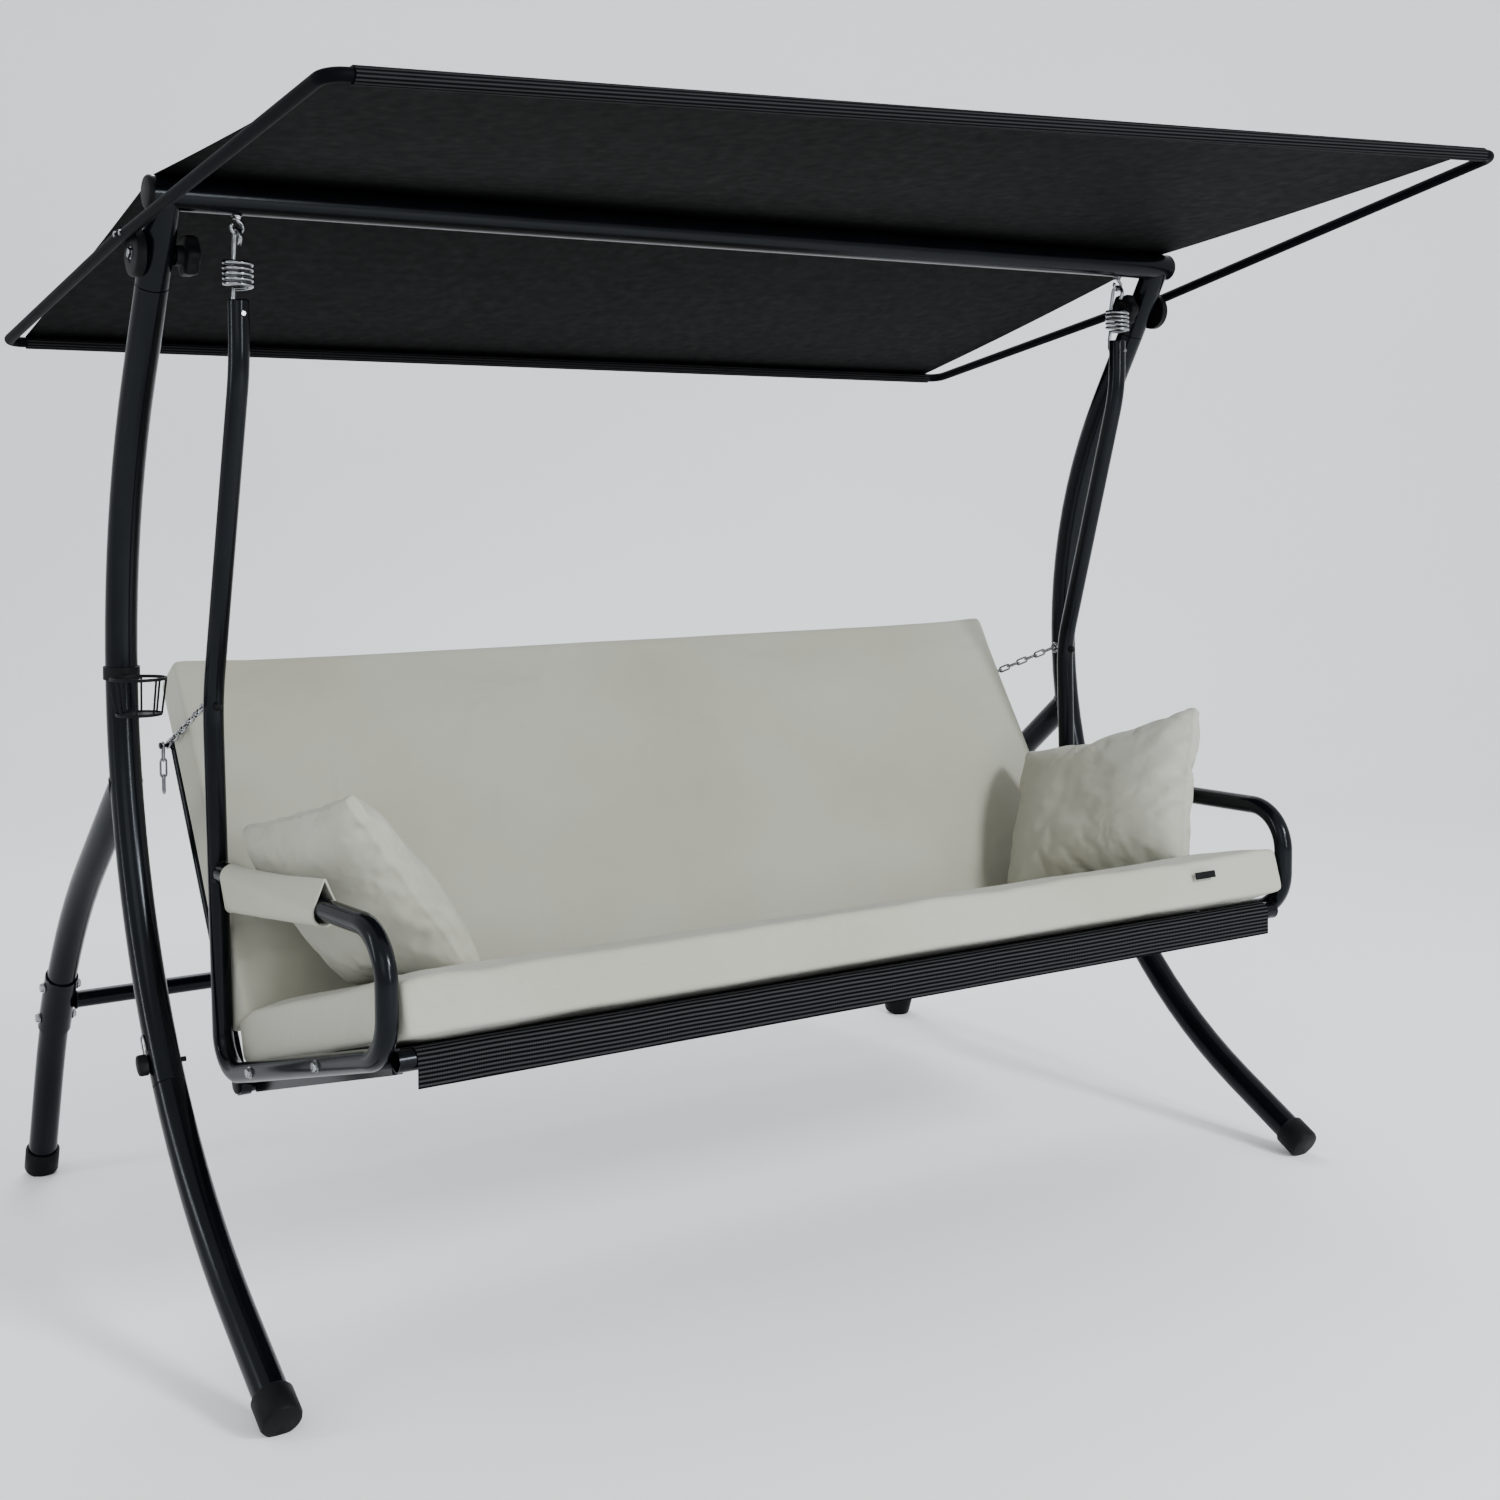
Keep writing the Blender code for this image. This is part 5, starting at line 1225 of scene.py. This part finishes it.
def make_backrest_sling():
    """The lower cross rail and the sheet that is stretched from it to the top of the hoop."""
    up, rearward = back_directions()
    pivot_place = at(0, seat_rear)
    top = pivot_place + up * back_length
    level = pivot_place + up * back_cross_rail
    mesh = bmesh.new()
    half = x_axis * (back_tube_place - back_tube_radius + 0.001)
    sweep(mesh, [level - half, level + half], back_tube_radius, 28)
    piece("backrest_cross_tube", mesh, frame_paint, "backrest", ["backrest_cross_rail"])

    radius = back_tube_radius + sling_room + sling_thickness / 2
    line = []
    for centre, first, last in ((top, -150, 90), (level, 90, 330)):
        for index in range(17):
            angle = math.radians(first + (last - first) * index / 16)
            line.append(centre + (up * math.cos(angle) - rearward * math.sin(angle)) * radius)
    line = filled(line, 0.02)
    lines = [[point + x_axis * x for point in line] for x in stations(back_sling_half, 41)]
    sling = woven_sheet("backrest_sheet", lines, sling_thickness, seat_mesh, "backrest", ["backrest_sling"])


# Chains

def pin_place(side):
    """Where the chain hangs on the backrest."""
    up = back_directions()[0]
    place = at(0, seat_rear) + up * chain_pin_distance
    return Vector((side * chain_plane, place.y, place.z))


def eye_seat(side):
    """Where the chain's eyebolt goes through the hanger."""
    route = side_frame_route(side)
    return place_on(route, crossing(route[:60], chain_eye_height))[0]


def make_chain_eyes():
    """The eyebolts that hold the chains to the hangers, with a dome nut in front."""
    for side, name in sides:
        seat = eye_seat(side)
        centre = seat + y_axis * (side_radius + chain_eye_neck + chain_eye_bend)
        eye = ring_points(centre, -y_axis, z_axis, chain_eye_bend, 26, math.radians(320), 0)
        neck = centre - y_axis * (chain_eye_bend + chain_eye_wire * 0.6)
        mesh = bmesh.new()
        sweep(mesh, eye + [centre - y_axis * chain_eye_bend * 1.02 + z_axis * 0.0006, neck,
                           seat - y_axis * (side_radius + 0.004)], chain_eye_wire / 2, wire_sides)
        hex_bolt(mesh, seat + y_axis * (side_radius - snug_gap), y_axis, *chain_eye_nut)
        piece("chain_eye_" + name, mesh, zinc, "swing", ["chain_eyebolt_" + name])
        mesh = bmesh.new()
        dome_nut(mesh, seat - y_axis * (side_radius - 0.0002), -y_axis, *chain_dome_nut)
        piece("dome_nut_" + name, mesh, black_plastic, "swing")


def link(mesh, centre, along, across, inner_length):
    """One long chain link."""
    half_width = (chain_width - chain_wire) / 2
    reach = (inner_length + chain_wire) / 2 - half_width
    points = []
    for sign, start in ((1, -90), (-1, 90)):
        for index in range(9):
            angle = math.radians(start + 180 * index / 8)
            points.append(centre + along * (sign * reach + half_width * math.cos(angle))
                          + across * half_width * math.sin(angle))
    sweep(mesh, points, chain_wire / 2, 10, closed=True)


def chain(mesh, start, end, count, first_across):
    """Links from start to end, each turned a quarter from the one before; gives back their pitch."""
    along = (end - start).normalized()
    pitch = ((end - start).length - chain_wire) / count
    for index in range(count):
        centre = start + along * (pitch / 2 + chain_wire / 2 + pitch * index)
        across = (first_across - along * first_across.dot(along)).normalized()
        if index % 2:
            across = along.cross(across)
        link(mesh, centre, along, across, pitch)
    return pitch


def make_chains():
    """The backrest's two chains and the spare links that hang from their pins."""
    for side, name in sides:
        seat = eye_seat(side)
        eye_reach = side_radius + chain_eye_neck + 2 * chain_eye_bend - (chain_eye_wire + chain_wire) / 2
        eye = seat + y_axis * (eye_reach - chain_play)
        pin = pin_place(side)
        along = (pin - eye).normalized()
        end = pin + along * (chain_pin_radius + chain_wire / 2 + chain_play)
        mesh = bmesh.new()
        pitch = chain(mesh, eye, end, chain_links, x_axis)
        made = piece("back_chain_" + name, mesh, zinc, None, ["chain_" + name])
        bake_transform(made)
        top = Vector((side * tail_plane, pin.y, pin.z + chain_pin_radius + chain_wire / 2 + chain_play))
        mesh = bmesh.new()
        chain(mesh, top, top - z_axis * (pitch * spare_links + chain_wire), spare_links, y_axis)
        piece("spare_chain_" + name, mesh, zinc, "chain_tail_" + name, ["chain_tail_" + name])


# Cushions

def lattice_pad(size, spacing, edge):
    """A box of even cells whose corners and edges are rolled; its points carry their place on the box."""
    mesh = bmesh.new()
    counts = [max(2, round(measure / spacing)) for measure in size]
    half = Vector(size) / 2
    table = {}
    seam = []

    def vertex(*cell):
        if cell not in table:
            point = Vector((2 * c / n - 1) * h for c, n, h in zip(cell, counts, half))
            core = Vector(max(-h + edge, min(h - edge, value)) for value, h in zip(point, half))
            outward = point - core
            if outward.length > 0:
                strength = max(abs(value) for value in outward)
                point = core + outward.normalized() * strength
            table[cell] = mesh.verts.new(point)
            if sum(c in (0, n) for c, n in zip(cell, counts)) > 1:
                seam.append((table[cell], (point - core).normalized()))
        return table[cell]

    for axis in range(3):
        others = [index for index in range(3) if index != axis]
        for level in (0, counts[axis]):
            for i in range(counts[others[0]]):
                for j in range(counts[others[1]]):
                    corners = []
                    for step_i, step_j in ((0, 0), (1, 0), (1, 1), (0, 1)):
                        cell = [0, 0, 0]
                        cell[axis] = level
                        cell[others[0]] = i + step_i
                        cell[others[1]] = j + step_j
                        corners.append(vertex(*cell))
                    mesh.faces.new(corners)
    bmesh.ops.recalc_face_normals(mesh, faces=mesh.faces)
    return mesh, seam


def raise_seam(seam, height):
    """Lifts the points along a pad's edges into a low welt."""
    for vertex, outward in seam:
        vertex.co += outward * height


def puff(mesh, name, pressure, slack, frames, cap, stiffness=0.4):
    """Swells a closed cloth mesh; each point of the mesh moves by at most the cap."""
    data = bpy.data.meshes.new(name + "_cloth")
    mesh.to_mesh(data)
    pad = bpy.data.objects.new(name + "_cloth", data)
    bpy.context.scene.collection.objects.link(pad)
    cloth = pad.modifiers.new("cloth", "CLOTH")
    settings = cloth.settings
    settings.quality = 5
    settings.mass = 0.25
    settings.tension_stiffness = 20
    settings.compression_stiffness = 12
    settings.shear_stiffness = 6
    settings.bending_stiffness = stiffness
    settings.use_pressure = True
    settings.uniform_pressure_force = pressure
    settings.shrink_min = -slack
    settings.effector_weights.gravity = 0
    cloth.collision_settings.use_collision = False
    cloth.point_cache.frame_start = 1
    cloth.point_cache.frame_end = frames
    scene = bpy.context.scene
    for number in range(1, frames + 1):
        scene.frame_set(number)
    swollen = pad.evaluated_get(bpy.context.evaluated_depsgraph_get()).to_mesh()
    for vertex, moved in zip(mesh.verts, swollen.vertices):
        travel = moved.co - vertex.co
        if travel.length > cap:
            travel *= cap / travel.length
        vertex.co += travel
    bpy.data.objects.remove(pad, do_unlink=True)
    scene.frame_set(1)
    return mesh


def fit_to(mesh, size):
    """Scales a mesh evenly on each axis to fill a box."""
    low = Vector(min(vertex.co[axis] for vertex in mesh.verts) for axis in range(3))
    high = Vector(max(vertex.co[axis] for vertex in mesh.verts) for axis in range(3))
    middle = (low + high) / 2
    for vertex in mesh.verts:
        vertex.co = Vector((vertex.co[axis] - middle[axis]) * size[axis] / (high[axis] - low[axis])
                           for axis in range(3))


def finish_pad(mesh, name, place, surface, body, node):
    """Moves a swollen pad to where it lies and gives it its last subdivision."""
    bmesh.ops.transform(mesh, matrix=place, verts=mesh.verts)
    pad = piece(name, mesh, surface, body, [node], sharp=180)
    smoothing = pad.modifiers.new("smoothing", "SUBSURF")
    smoothing.levels = 1
    smoothing.render_levels = 1


def seat_pad_matrix():
    """Where the seat cushion lies on its sheet."""
    front, rear = at(0, seat_front), at(0, seat_rear)
    along = (rear - front).normalized()
    upward = x_axis.cross(along)
    lift = seat_rail_radius + sling_room + sling_thickness + cushion_gap + seat_pad_size[2] / 2
    centre = front + along * (seat_pad_size[1] / 2 - seat_pad_overhang) + upward * lift
    return Matrix.Translation(centre) @ Matrix((x_axis, along, upward)).transposed().to_4x4()


def back_pad_matrix():
    """Where the back cushion leans on its sheet."""
    up, rearward = back_directions()
    ahead = back_tube_radius + sling_room + sling_thickness + cushion_gap + back_pad_size[2] / 2
    centre = at(0, seat_rear) + up * (back_pad_start + back_pad_size[1] / 2) - rearward * ahead
    return Matrix.Translation(centre) @ Matrix((x_axis, up, -rearward)).transposed().to_4x4()


def pillow_matrix(side):
    """Where a pillow stands on the seat cushion, leaning outwards."""
    centre = Vector((side * pillow_places[side], -pillow_aheads[side], pillow_centre_height))
    turn = Matrix.Rotation(side * pillow_turns[side], 4, "Z")
    slope = Matrix.Rotation(-pillow_slope, 4, "X")
    lean = Matrix.Rotation(side * pillow_lean, 4, "Y")
    upright = Matrix((y_axis, z_axis, x_axis)).transposed().to_4x4()
    return Matrix.Translation(centre) @ turn @ slope @ lean @ upright


def crease(mesh, strength, size, seed, along):
    """Soft irregular folds that run along one axis of the pad."""
    for vertex in mesh.verts:
        point = Vector(value / length for value, length in zip(vertex.co, size))
        near_end = max(0.0, abs(point.x) * 2 - 0.72) / 0.28
        near_foot = max(0.0, -point.y * 2 - 0.45) / 0.55
        amount = strength * (0.16 + 0.5 * near_end + 0.45 * near_foot)
        sample = Vector((vertex.co.x * along[0], vertex.co.y * along[1], seed + vertex.co.z * 3))
        height = noise.noise(sample) + 0.45 * noise.noise(sample * 2.3)
        vertex.co.z += amount * height * (1 if vertex.co.z > 0 else 0.3)
        vertex.co.y += amount * 0.3 * noise.noise(sample + Vector((7, 3, 1)))


def long_pad(name, size, fold, seed, along):
    """A long cushion about its own middle: swollen a little, with a welt on its edges and soft folds."""
    mesh, seam = lattice_pad([measure - pad_play for measure in size], pad_cell, pad_edge)
    mesh = puff(mesh, name, pad_pressure, pad_slack, pad_frames, pad_play)
    fit_to(mesh, size)
    raise_seam(seam, pad_seam)
    crease(mesh, fold, size, seed, along)
    return mesh


def add_tab(name, place, centre, body):
    """A plain dark tab sewn into a pad's edge."""
    mesh = bmesh.new()
    box(mesh, Vector(centre), tab_size, bevel=tab_edge)
    bmesh.ops.transform(mesh, matrix=place, verts=mesh.verts)
    piece(name, mesh, black_plastic, body)


def make_seat_pad():
    """The seat cushion, narrowed towards the front to fit between the arms."""
    mesh = long_pad("seat_pad", seat_pad_size, seat_pad_fold, 3.0, (9.0, 5.0))
    for vertex in mesh.verts:
        ahead_share = 0.5 - vertex.co.y / seat_pad_size[1]
        vertex.co.x *= 1 - 2 * side_toe_in / seat_pad_size[0] * ahead_share
    place = seat_pad_matrix()
    tab_centre = (seat_tab_place, -seat_pad_size[1] / 2 - pad_seam, seat_pad_size[2] * 0.10)
    add_tab("seat_cushion_tab", place, tab_centre, "swing")
    finish_pad(mesh, "seat_pad", place, ecru_cloth, "swing", "seat_cushion")


def make_back_pad():
    """The back cushion, with its tab at the top edge."""
    mesh = long_pad("back_pad", back_pad_size, back_pad_fold, 8.0, (7.0, 4.0))
    place = back_pad_matrix()
    tab_centre = (back_tab_place, back_pad_size[1] / 2 + pad_seam, -back_pad_size[2] * 0.35)
    add_tab("back_cushion_tab", place, tab_centre, "backrest")
    finish_pad(mesh, "back_pad", place, ecru_cloth, "backrest", "back_cushion")


def make_pillows():
    """Two thin sewn bags, blown up, then drawn in at the corners and folded."""
    for side, name in sides:
        flat = (pillow_size[0] * 1.12, pillow_size[1] * 1.14, pillow_depth)
        mesh, seam = lattice_pad(flat, pillow_cell, pillow_depth * 0.45)
        for vertex in mesh.verts:
            sample = Vector((vertex.co.x * 14 + 5 * side, vertex.co.y * 14, 1))
            vertex.co.z += 0.007 * noise.noise(sample) + 0.004 * noise.noise(sample * 2.4)
        mesh = puff(mesh, "pillow_" + name, pillow_pressure, pillow_slack, pillow_frames, pillow_play,
                    pillow_stiffness)
        fit_to(mesh, pillow_size)
        for vertex in mesh.verts:
            corner = abs(vertex.co.x * vertex.co.y) * 4 / (pillow_size[0] * pillow_size[1])
            vertex.co.xy *= 1 - pillow_corner_share * corner ** 3
        raise_seam(seam, pad_seam)
        crease(mesh, pillow_fold, pillow_size, 5.0 + side, (19.0, 10.0))
        place = pillow_matrix(side) @ Matrix.Rotation(pillow_rolls[side], 4, "Z")
        finish_pad(mesh, "throw_pillow_" + name, place, pillow_cloth, "swing", "pillow_" + name)


def arm_height_at(behind):
    """The height of the arm's middle line at a depth."""
    share = (behind + side_front_ahead) / (arm_end[0] + side_front_ahead)
    return side_corners[5][1] + (arm_end[1] - side_corners[5][1]) * share


def sleeve_outline(centre, offset, share):
    """The sleeve's section; share runs from its rear end to its front end, where it stands up off the arm."""
    radius = side_radius + arm_sleeve_room + offset
    foot = arm_sleeve_foot + offset
    lift = arm_sleeve_lift * share ** 1.5
    pinch = arm_sleeve_pinch * share
    drop = arm_sleeve_drop + (arm_sleeve_front_drop - arm_sleeve_drop) * share
    foot += (radius - foot) * share
    low = centre - z_axis * drop
    points = [centre + x_axis * radius * math.cos(angle) * (1 - pinch * math.sin(angle))
              + z_axis * (radius + lift) * math.sin(angle)
              for angle in (math.pi * index / 20 for index in range(21))]
    left, right = points[-1], points[0]
    lower = [low + (x_axis * math.cos(angle) + z_axis * math.sin(angle)) * foot
             for angle in (math.pi + math.pi * index / 12 for index in range(13))]
    points += [left.lerp(lower[0], index / 6) for index in range(1, 6)] + lower
    points += [lower[-1].lerp(right, index / 6) for index in range(1, 6)]
    return points


def make_arm_sleeves():
    """Flat cotton sleeves over the arms, with a piped front edge."""
    for side, name in sides:
        mesh = bmesh.new()
        loops = {0.0: [], arm_sleeve_wall: []}
        count = 25
        for station in range(count):
            share = station / (count - 1)
            front, rear = arm_sleeve_spans[side]
            behind = rear + (front - rear) * share
            centre = Vector((side_place(side, behind), behind, arm_height_at(behind)))
            for offset in loops:
                outline = []
                for point in sleeve_outline(centre, offset, share):
                    hang = max(0.0, abs(centre.z - point.z) - side_radius) / arm_sleeve_drop
                    wave = arm_sleeve_wave * hang * noise.noise(Vector((share * 5, point.x * 4, side)))
                    outline.append(mesh.verts.new(point + x_axis * wave))
                loops[offset].append(outline)
        for table in loops.values():
            for loop, next_loop in zip(table, table[1:]):
                skin(mesh, loop, next_loop)
        inner, outer = loops[0.0], loops[arm_sleeve_wall]
        skin(mesh, inner[0], outer[0])
        skin(mesh, inner[-1], outer[-1])
        for behind, share in ((rear, 0.0), (front, 1.0)):
            centre = Vector((side_place(side, behind), behind, arm_height_at(behind)))
            sweep(mesh, sleeve_outline(centre, arm_sleeve_wall / 2, share), arm_sleeve_piping, 8, closed=True)
        sleeve = piece("arm_cover_" + name, mesh, ecru_cloth, "swing", ["arm_sleeve_" + name], sharp=70)


# Canopy

def rail_point(x, behind, heights):
    """A point on a canopy rail, whose two ends differ in height."""
    share = (x + canopy_arm_place) / (2 * canopy_arm_place)
    low, high = heights
    return Vector((x, behind, low + (high - low) * share))


def canopy_front(x):
    return rail_point(x, -canopy_front_ahead, canopy_front_heights)


def canopy_rear(x):
    return rail_point(x, canopy_rear_behind, canopy_rear_heights)


def stud_place(side, sign):
    """Where an arm of the canopy starts on its pivot disc."""
    return Vector((side * canopy_arm_place, pivot[0] + sign * stud_offset, pivot[1] + canopy_arm_lift))


def make_canopy_hoops():
    """Each hoop: an arm, a rail and an arm in one bent tube."""
    for name, rail, sign in (("front", canopy_front, -1), ("rear", canopy_rear, 1)):
        corners = []
        for side in (-1, 1):
            stud = stud_place(side, sign)
            corner = rail(side * canopy_arm_place)
            start = stud - (corner - stud).normalized() * (stud_offset - snug_gap)
            corners += [start, corner] if side < 0 else [corner, start]
        route = rounded(corners, [canopy_corner, canopy_corner])
        points, radii = soft_ended(route, canopy_arm_radius, canopy_arm_rounding)
        mesh = bmesh.new()
        sweep(mesh, points, radii, 28)
        piece("canopy_" + name + "_tube", mesh, canopy_paint, "canopy", ["canopy_" + name + "_hoop"])


def make_pivot_discs():
    """The discs that carry the canopy's arms, and their bolts."""
    inner = leg_place + leg_radius + snug_gap
    for side, name in sides:
        outward = x_axis * side
        base = at(0, pivot) + outward * inner
        mesh = bmesh.new()
        profile = [
            (0, 0),
            (disc_radius - 0.001, 0),
            (disc_radius, 0.001),
            (disc_radius, disc_depth - 0.003),
            (disc_radius - 0.0012, disc_depth - 0.0010),
            (disc_radius - 0.0035, disc_depth),
            (0.0150, disc_depth),
            (0.0140, disc_depth - 0.0012),
            (0, disc_depth - 0.0012),
        ]
        turned(mesh, profile, base, outward, 64)
        turned(mesh, [(0.0050, 0), (0.0050, 0.050 + knob_hub_depth + 0.012)], base, -outward, 20)
        piece("tilt_disc_" + name, mesh, black_plastic, "canopy", ["pivot_disc_" + name])
        mesh = bmesh.new()
        hex_bolt(mesh, base + outward * (disc_depth - 0.0012), outward, *pivot_bolt_head)
        for sign in (-1, 1):
            stud = stud_place(side, sign)
            seat = stud + outward * (canopy_arm_radius - 0.0004)
            hex_bolt(mesh, seat, outward, *arm_bolt_head, washer=False)
        piece("tilt_bolts_" + name, mesh, zinc, "canopy")


def make_star_knobs():
    """Lobed knobs on the inner ends of the pivot bolts; a level is its radius, depth of lobes and place."""
    inner = leg_place - leg_radius - snug_gap
    crown = knob_hub_depth + knob_depth
    levels = (
        (knob_bore, 0, 0),
        (knob_hub_radius, 0, 0),
        (knob_hub_radius, 0, knob_hub_depth * 0.8),
        (knob_hub_radius * 1.1, 0.03, knob_hub_depth),
        (knob_radius * 0.84, 0.12, knob_hub_depth + 0.0004),
        (knob_radius * 0.96, 0.13, knob_hub_depth + 0.0022),
        (knob_radius, 0.13, knob_hub_depth + 0.0060),
        (knob_radius, 0.13, crown - 0.0070),
        (knob_radius * 0.95, 0.13, crown - 0.0026),
        (knob_radius * 0.80, 0.11, crown),
        (knob_radius * 0.45, 0.02, crown),
        (knob_radius * 0.40, 0, crown - 0.0015),
        (knob_bore, 0, crown - 0.0015),
    )
    count = 16 * knob_lobes
    for side, name in sides:
        mesh = bmesh.new()
        loops = []
        for size, lobe, depth in levels:
            centre = at(side * (inner - depth), pivot)
            loop = []
            for index in range(count):
                angle = math.tau * index / count
                reach = size * (1 - lobe * (1 - math.cos(knob_lobes * angle)) / 2)
                ray = y_axis * math.cos(angle) + z_axis * math.sin(angle)
                loop.append(mesh.verts.new(centre + ray * reach))
            loops.append(loop)
        for loop, next_loop in zip(loops, loops[1:] + loops[:1]):
            skin(mesh, loop, next_loop)
        piece("grip_knob_" + name, mesh, black_plastic, "star_knob_" + name, ["star_knob_" + name])


def sagged(points, depth):
    """Lowers the middle of a straight run of points."""
    shares = [index / (len(points) - 1) for index in range(len(points))]
    return [point - z_axis * depth * 4 * share * (1 - share) for point, share in zip(points, shares)]


def canopy_line(x, front_half):
    """One half of the canopy cloth at a place across, from the middle of the beam to its hem."""
    hem = canopy_arm_radius + canopy_hem_room + canopy_thickness / 2
    over = beam_radius + snug_gap + canopy_thickness / 2
    ridge = Vector((x, 0, beam_height))
    rail = canopy_front(x) if front_half else canopy_rear(x)
    rear_slope = top_tangent(canopy_rear(x), hem, ridge, over)
    front_slope = top_tangent(ridge, over, canopy_front(x), hem)
    middle = (rear_slope + front_slope) / 2
    edge = 1 - abs(x) / canopy_half
    flutter = canopy_flutter * noise.noise(Vector((x * 3, 1.7 if front_half else 5.1, 0)))
    sag = canopy_sag * (0.5 + 0.5 * min(1.0, edge * 5)) + flutter
    if front_half:
        start = wrap(ridge, over, middle, front_slope, 5)
        around = wrap(rail, hem, front_slope, math.radians(-300), 26)
    else:
        start = wrap(ridge, over, middle, rear_slope, 5)
        around = wrap(rail, hem, rear_slope, math.radians(300), 26)
    run = sagged(filled([start[-1], around[0]], 0.035), sag)
    return start[:-1] + run + around[1:]


def coarsen_and_light_hem(cloth, rail, reach):
    """Gives the edge that wraps a canopy rail its own coarser weave, with lighter threads that are a painted
    highlight for the light on the hem.
    """
    cloth.data.materials.append(lit_hem_mesh)
    for face in cloth.data.polygons:
        centre = face.center + y_axis * beam_setback
        if (centre - rail(centre.x)).length < reach:
            face.material_index = 1


def make_canopy_cloth():
    """Two halves that share the middle of the beam; each wraps over the beam and round its rail."""
    for label, front_half in (("front", True), ("rear", False)):
        xs = stations(canopy_half, 49)
        lines = [canopy_line(x, front_half) for x in xs]
        replaced = ["canopy_fabric"] if front_half else []
        cloth = woven_sheet("canopy_cloth_" + label, lines, canopy_thickness, canopy_mesh, None, replaced)
        rail = canopy_front if front_half else canopy_rear
        coarsen_and_light_hem(cloth, rail, canopy_arm_radius + canopy_hem_room + 2 * canopy_thickness)
        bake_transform(cloth)


# Studio

def make_studio():
    """A pale floor that bends up into a wall behind the bench, square to the camera."""
    mesh = bmesh.new()
    curve = [(studio_rear + studio_bend * math.sin(angle), studio_bend - studio_bend * math.cos(angle))
             for angle in (math.pi / 2 * index / 16 for index in range(17))]
    profile = [(-studio_half, 0)] + curve + [(studio_rear + studio_bend, studio_height)]
    loops = [[mesh.verts.new((side * studio_half, y, z)) for y, z in profile] for side in (-1, 1)]
    for index in range(len(profile) - 1):
        mesh.faces.new((loops[0][index], loops[1][index], loops[1][index + 1], loops[0][index + 1]))
    turn = Matrix.Rotation(-camera_yaw, 4, "Z")
    bmesh.ops.transform(mesh, matrix=turn, verts=mesh.verts)
    data = bpy.data.meshes.new("studio_floor")
    mesh.to_mesh(data)
    mesh.free()
    data.materials.append(floor_material())
    data.shade_smooth()
    floor = bpy.data.objects.new("studio_floor", data)
    bpy.context.scene.collection.objects.link(floor)


def make_lights():
    """A bright room and five soft lights; each has a place, an aim, a width, a height and a power."""
    world = bpy.data.worlds.new("studio")
    world.use_nodes = True
    world.node_tree.nodes["Background"].inputs["Color"].default_value = (0.94, 0.97, 1.0, 1)
    world.node_tree.nodes["Background"].inputs["Strength"].default_value = 1.05
    bpy.context.scene.world = world
    for name, place, target, size, height, power in (
            ("key", (1.6, -4.8, 3.4), (0, 0, 0.8), 1.0, 1.0, 260),
            ("fill", (-3.4, -3.6, 2.6), (0, 0, 0.8), 2.4, 2.4, 30),
            ("strip", (0.6, -5.4, 1.9), (0, 0, 1.1), 0.22, 2.0, 110),
            ("side_strip", (-4.2, 0.6, 1.9), (0, 0, 1.1), 0.16, 2.0, 36),
            ("rim", (1.0, 3.6, 4.4), (0, 0, 1.0), 2.4, 2.4, 120)):
        light = bpy.data.lights.new(name, "AREA")
        light.shape = "RECTANGLE"
        light.color = (0.93, 0.97, 1.0)
        light.size = size
        light.size_y = height
        light.energy = power
        lamp = bpy.data.objects.new(name, light)
        lamp.location = place
        lamp.rotation_euler = (Vector(target) - Vector(place)).to_track_quat("-Z", "Y").to_euler()
        bpy.context.scene.collection.objects.link(lamp)


def make_camera():
    """The photo's camera."""
    camera = bpy.data.cameras.new("photo_view")
    camera.sensor_width = sensor_width
    camera.lens = focal_pixels / image_pixels * sensor_width
    camera.shift_x = (image_pixels / 2 - axis_pixel[0]) / image_pixels
    camera.shift_y = (axis_pixel[1] - image_pixels / 2) / image_pixels
    view = bpy.data.objects.new("photo_view", camera)
    ahead = Vector((math.sin(camera_yaw) * math.cos(camera_pitch),
                    math.cos(camera_yaw) * math.cos(camera_pitch),
                    math.sin(camera_pitch)))
    level = ahead.to_track_quat("-Z", "Y").to_matrix().to_4x4()
    view.matrix_world = Matrix.Translation(camera_place) @ level @ Matrix.Rotation(camera_roll, 4, "Z")
    bpy.context.scene.collection.objects.link(view)
    bpy.context.scene.camera = view


def paint_kept_nodes():
    """The CAD pieces that stay in view get the scene's materials."""
    for name in ("seat_side_bar_left", "seat_side_bar_right"):
        for material_slot in nodes[name].material_slots:
            material_slot.material = frame_paint


make_camera()
make_crossbeam()
make_front_legs()
make_rear_legs()
make_crossbar()
make_leg_hardware()
make_foot_caps()
make_cup_holder()
make_beam_eyebolts()
make_springs()
make_side_frames()
make_seat_rails()
make_seat_sling()
make_backrest()
make_backrest_sling()
make_chain_eyes()
make_chains()
make_seat_pad()
make_back_pad()
make_pillows()
make_arm_sleeves()
make_canopy_hoops()
make_pivot_discs()
make_star_knobs()
make_canopy_cloth()
paint_kept_nodes()
make_studio()
make_lights()
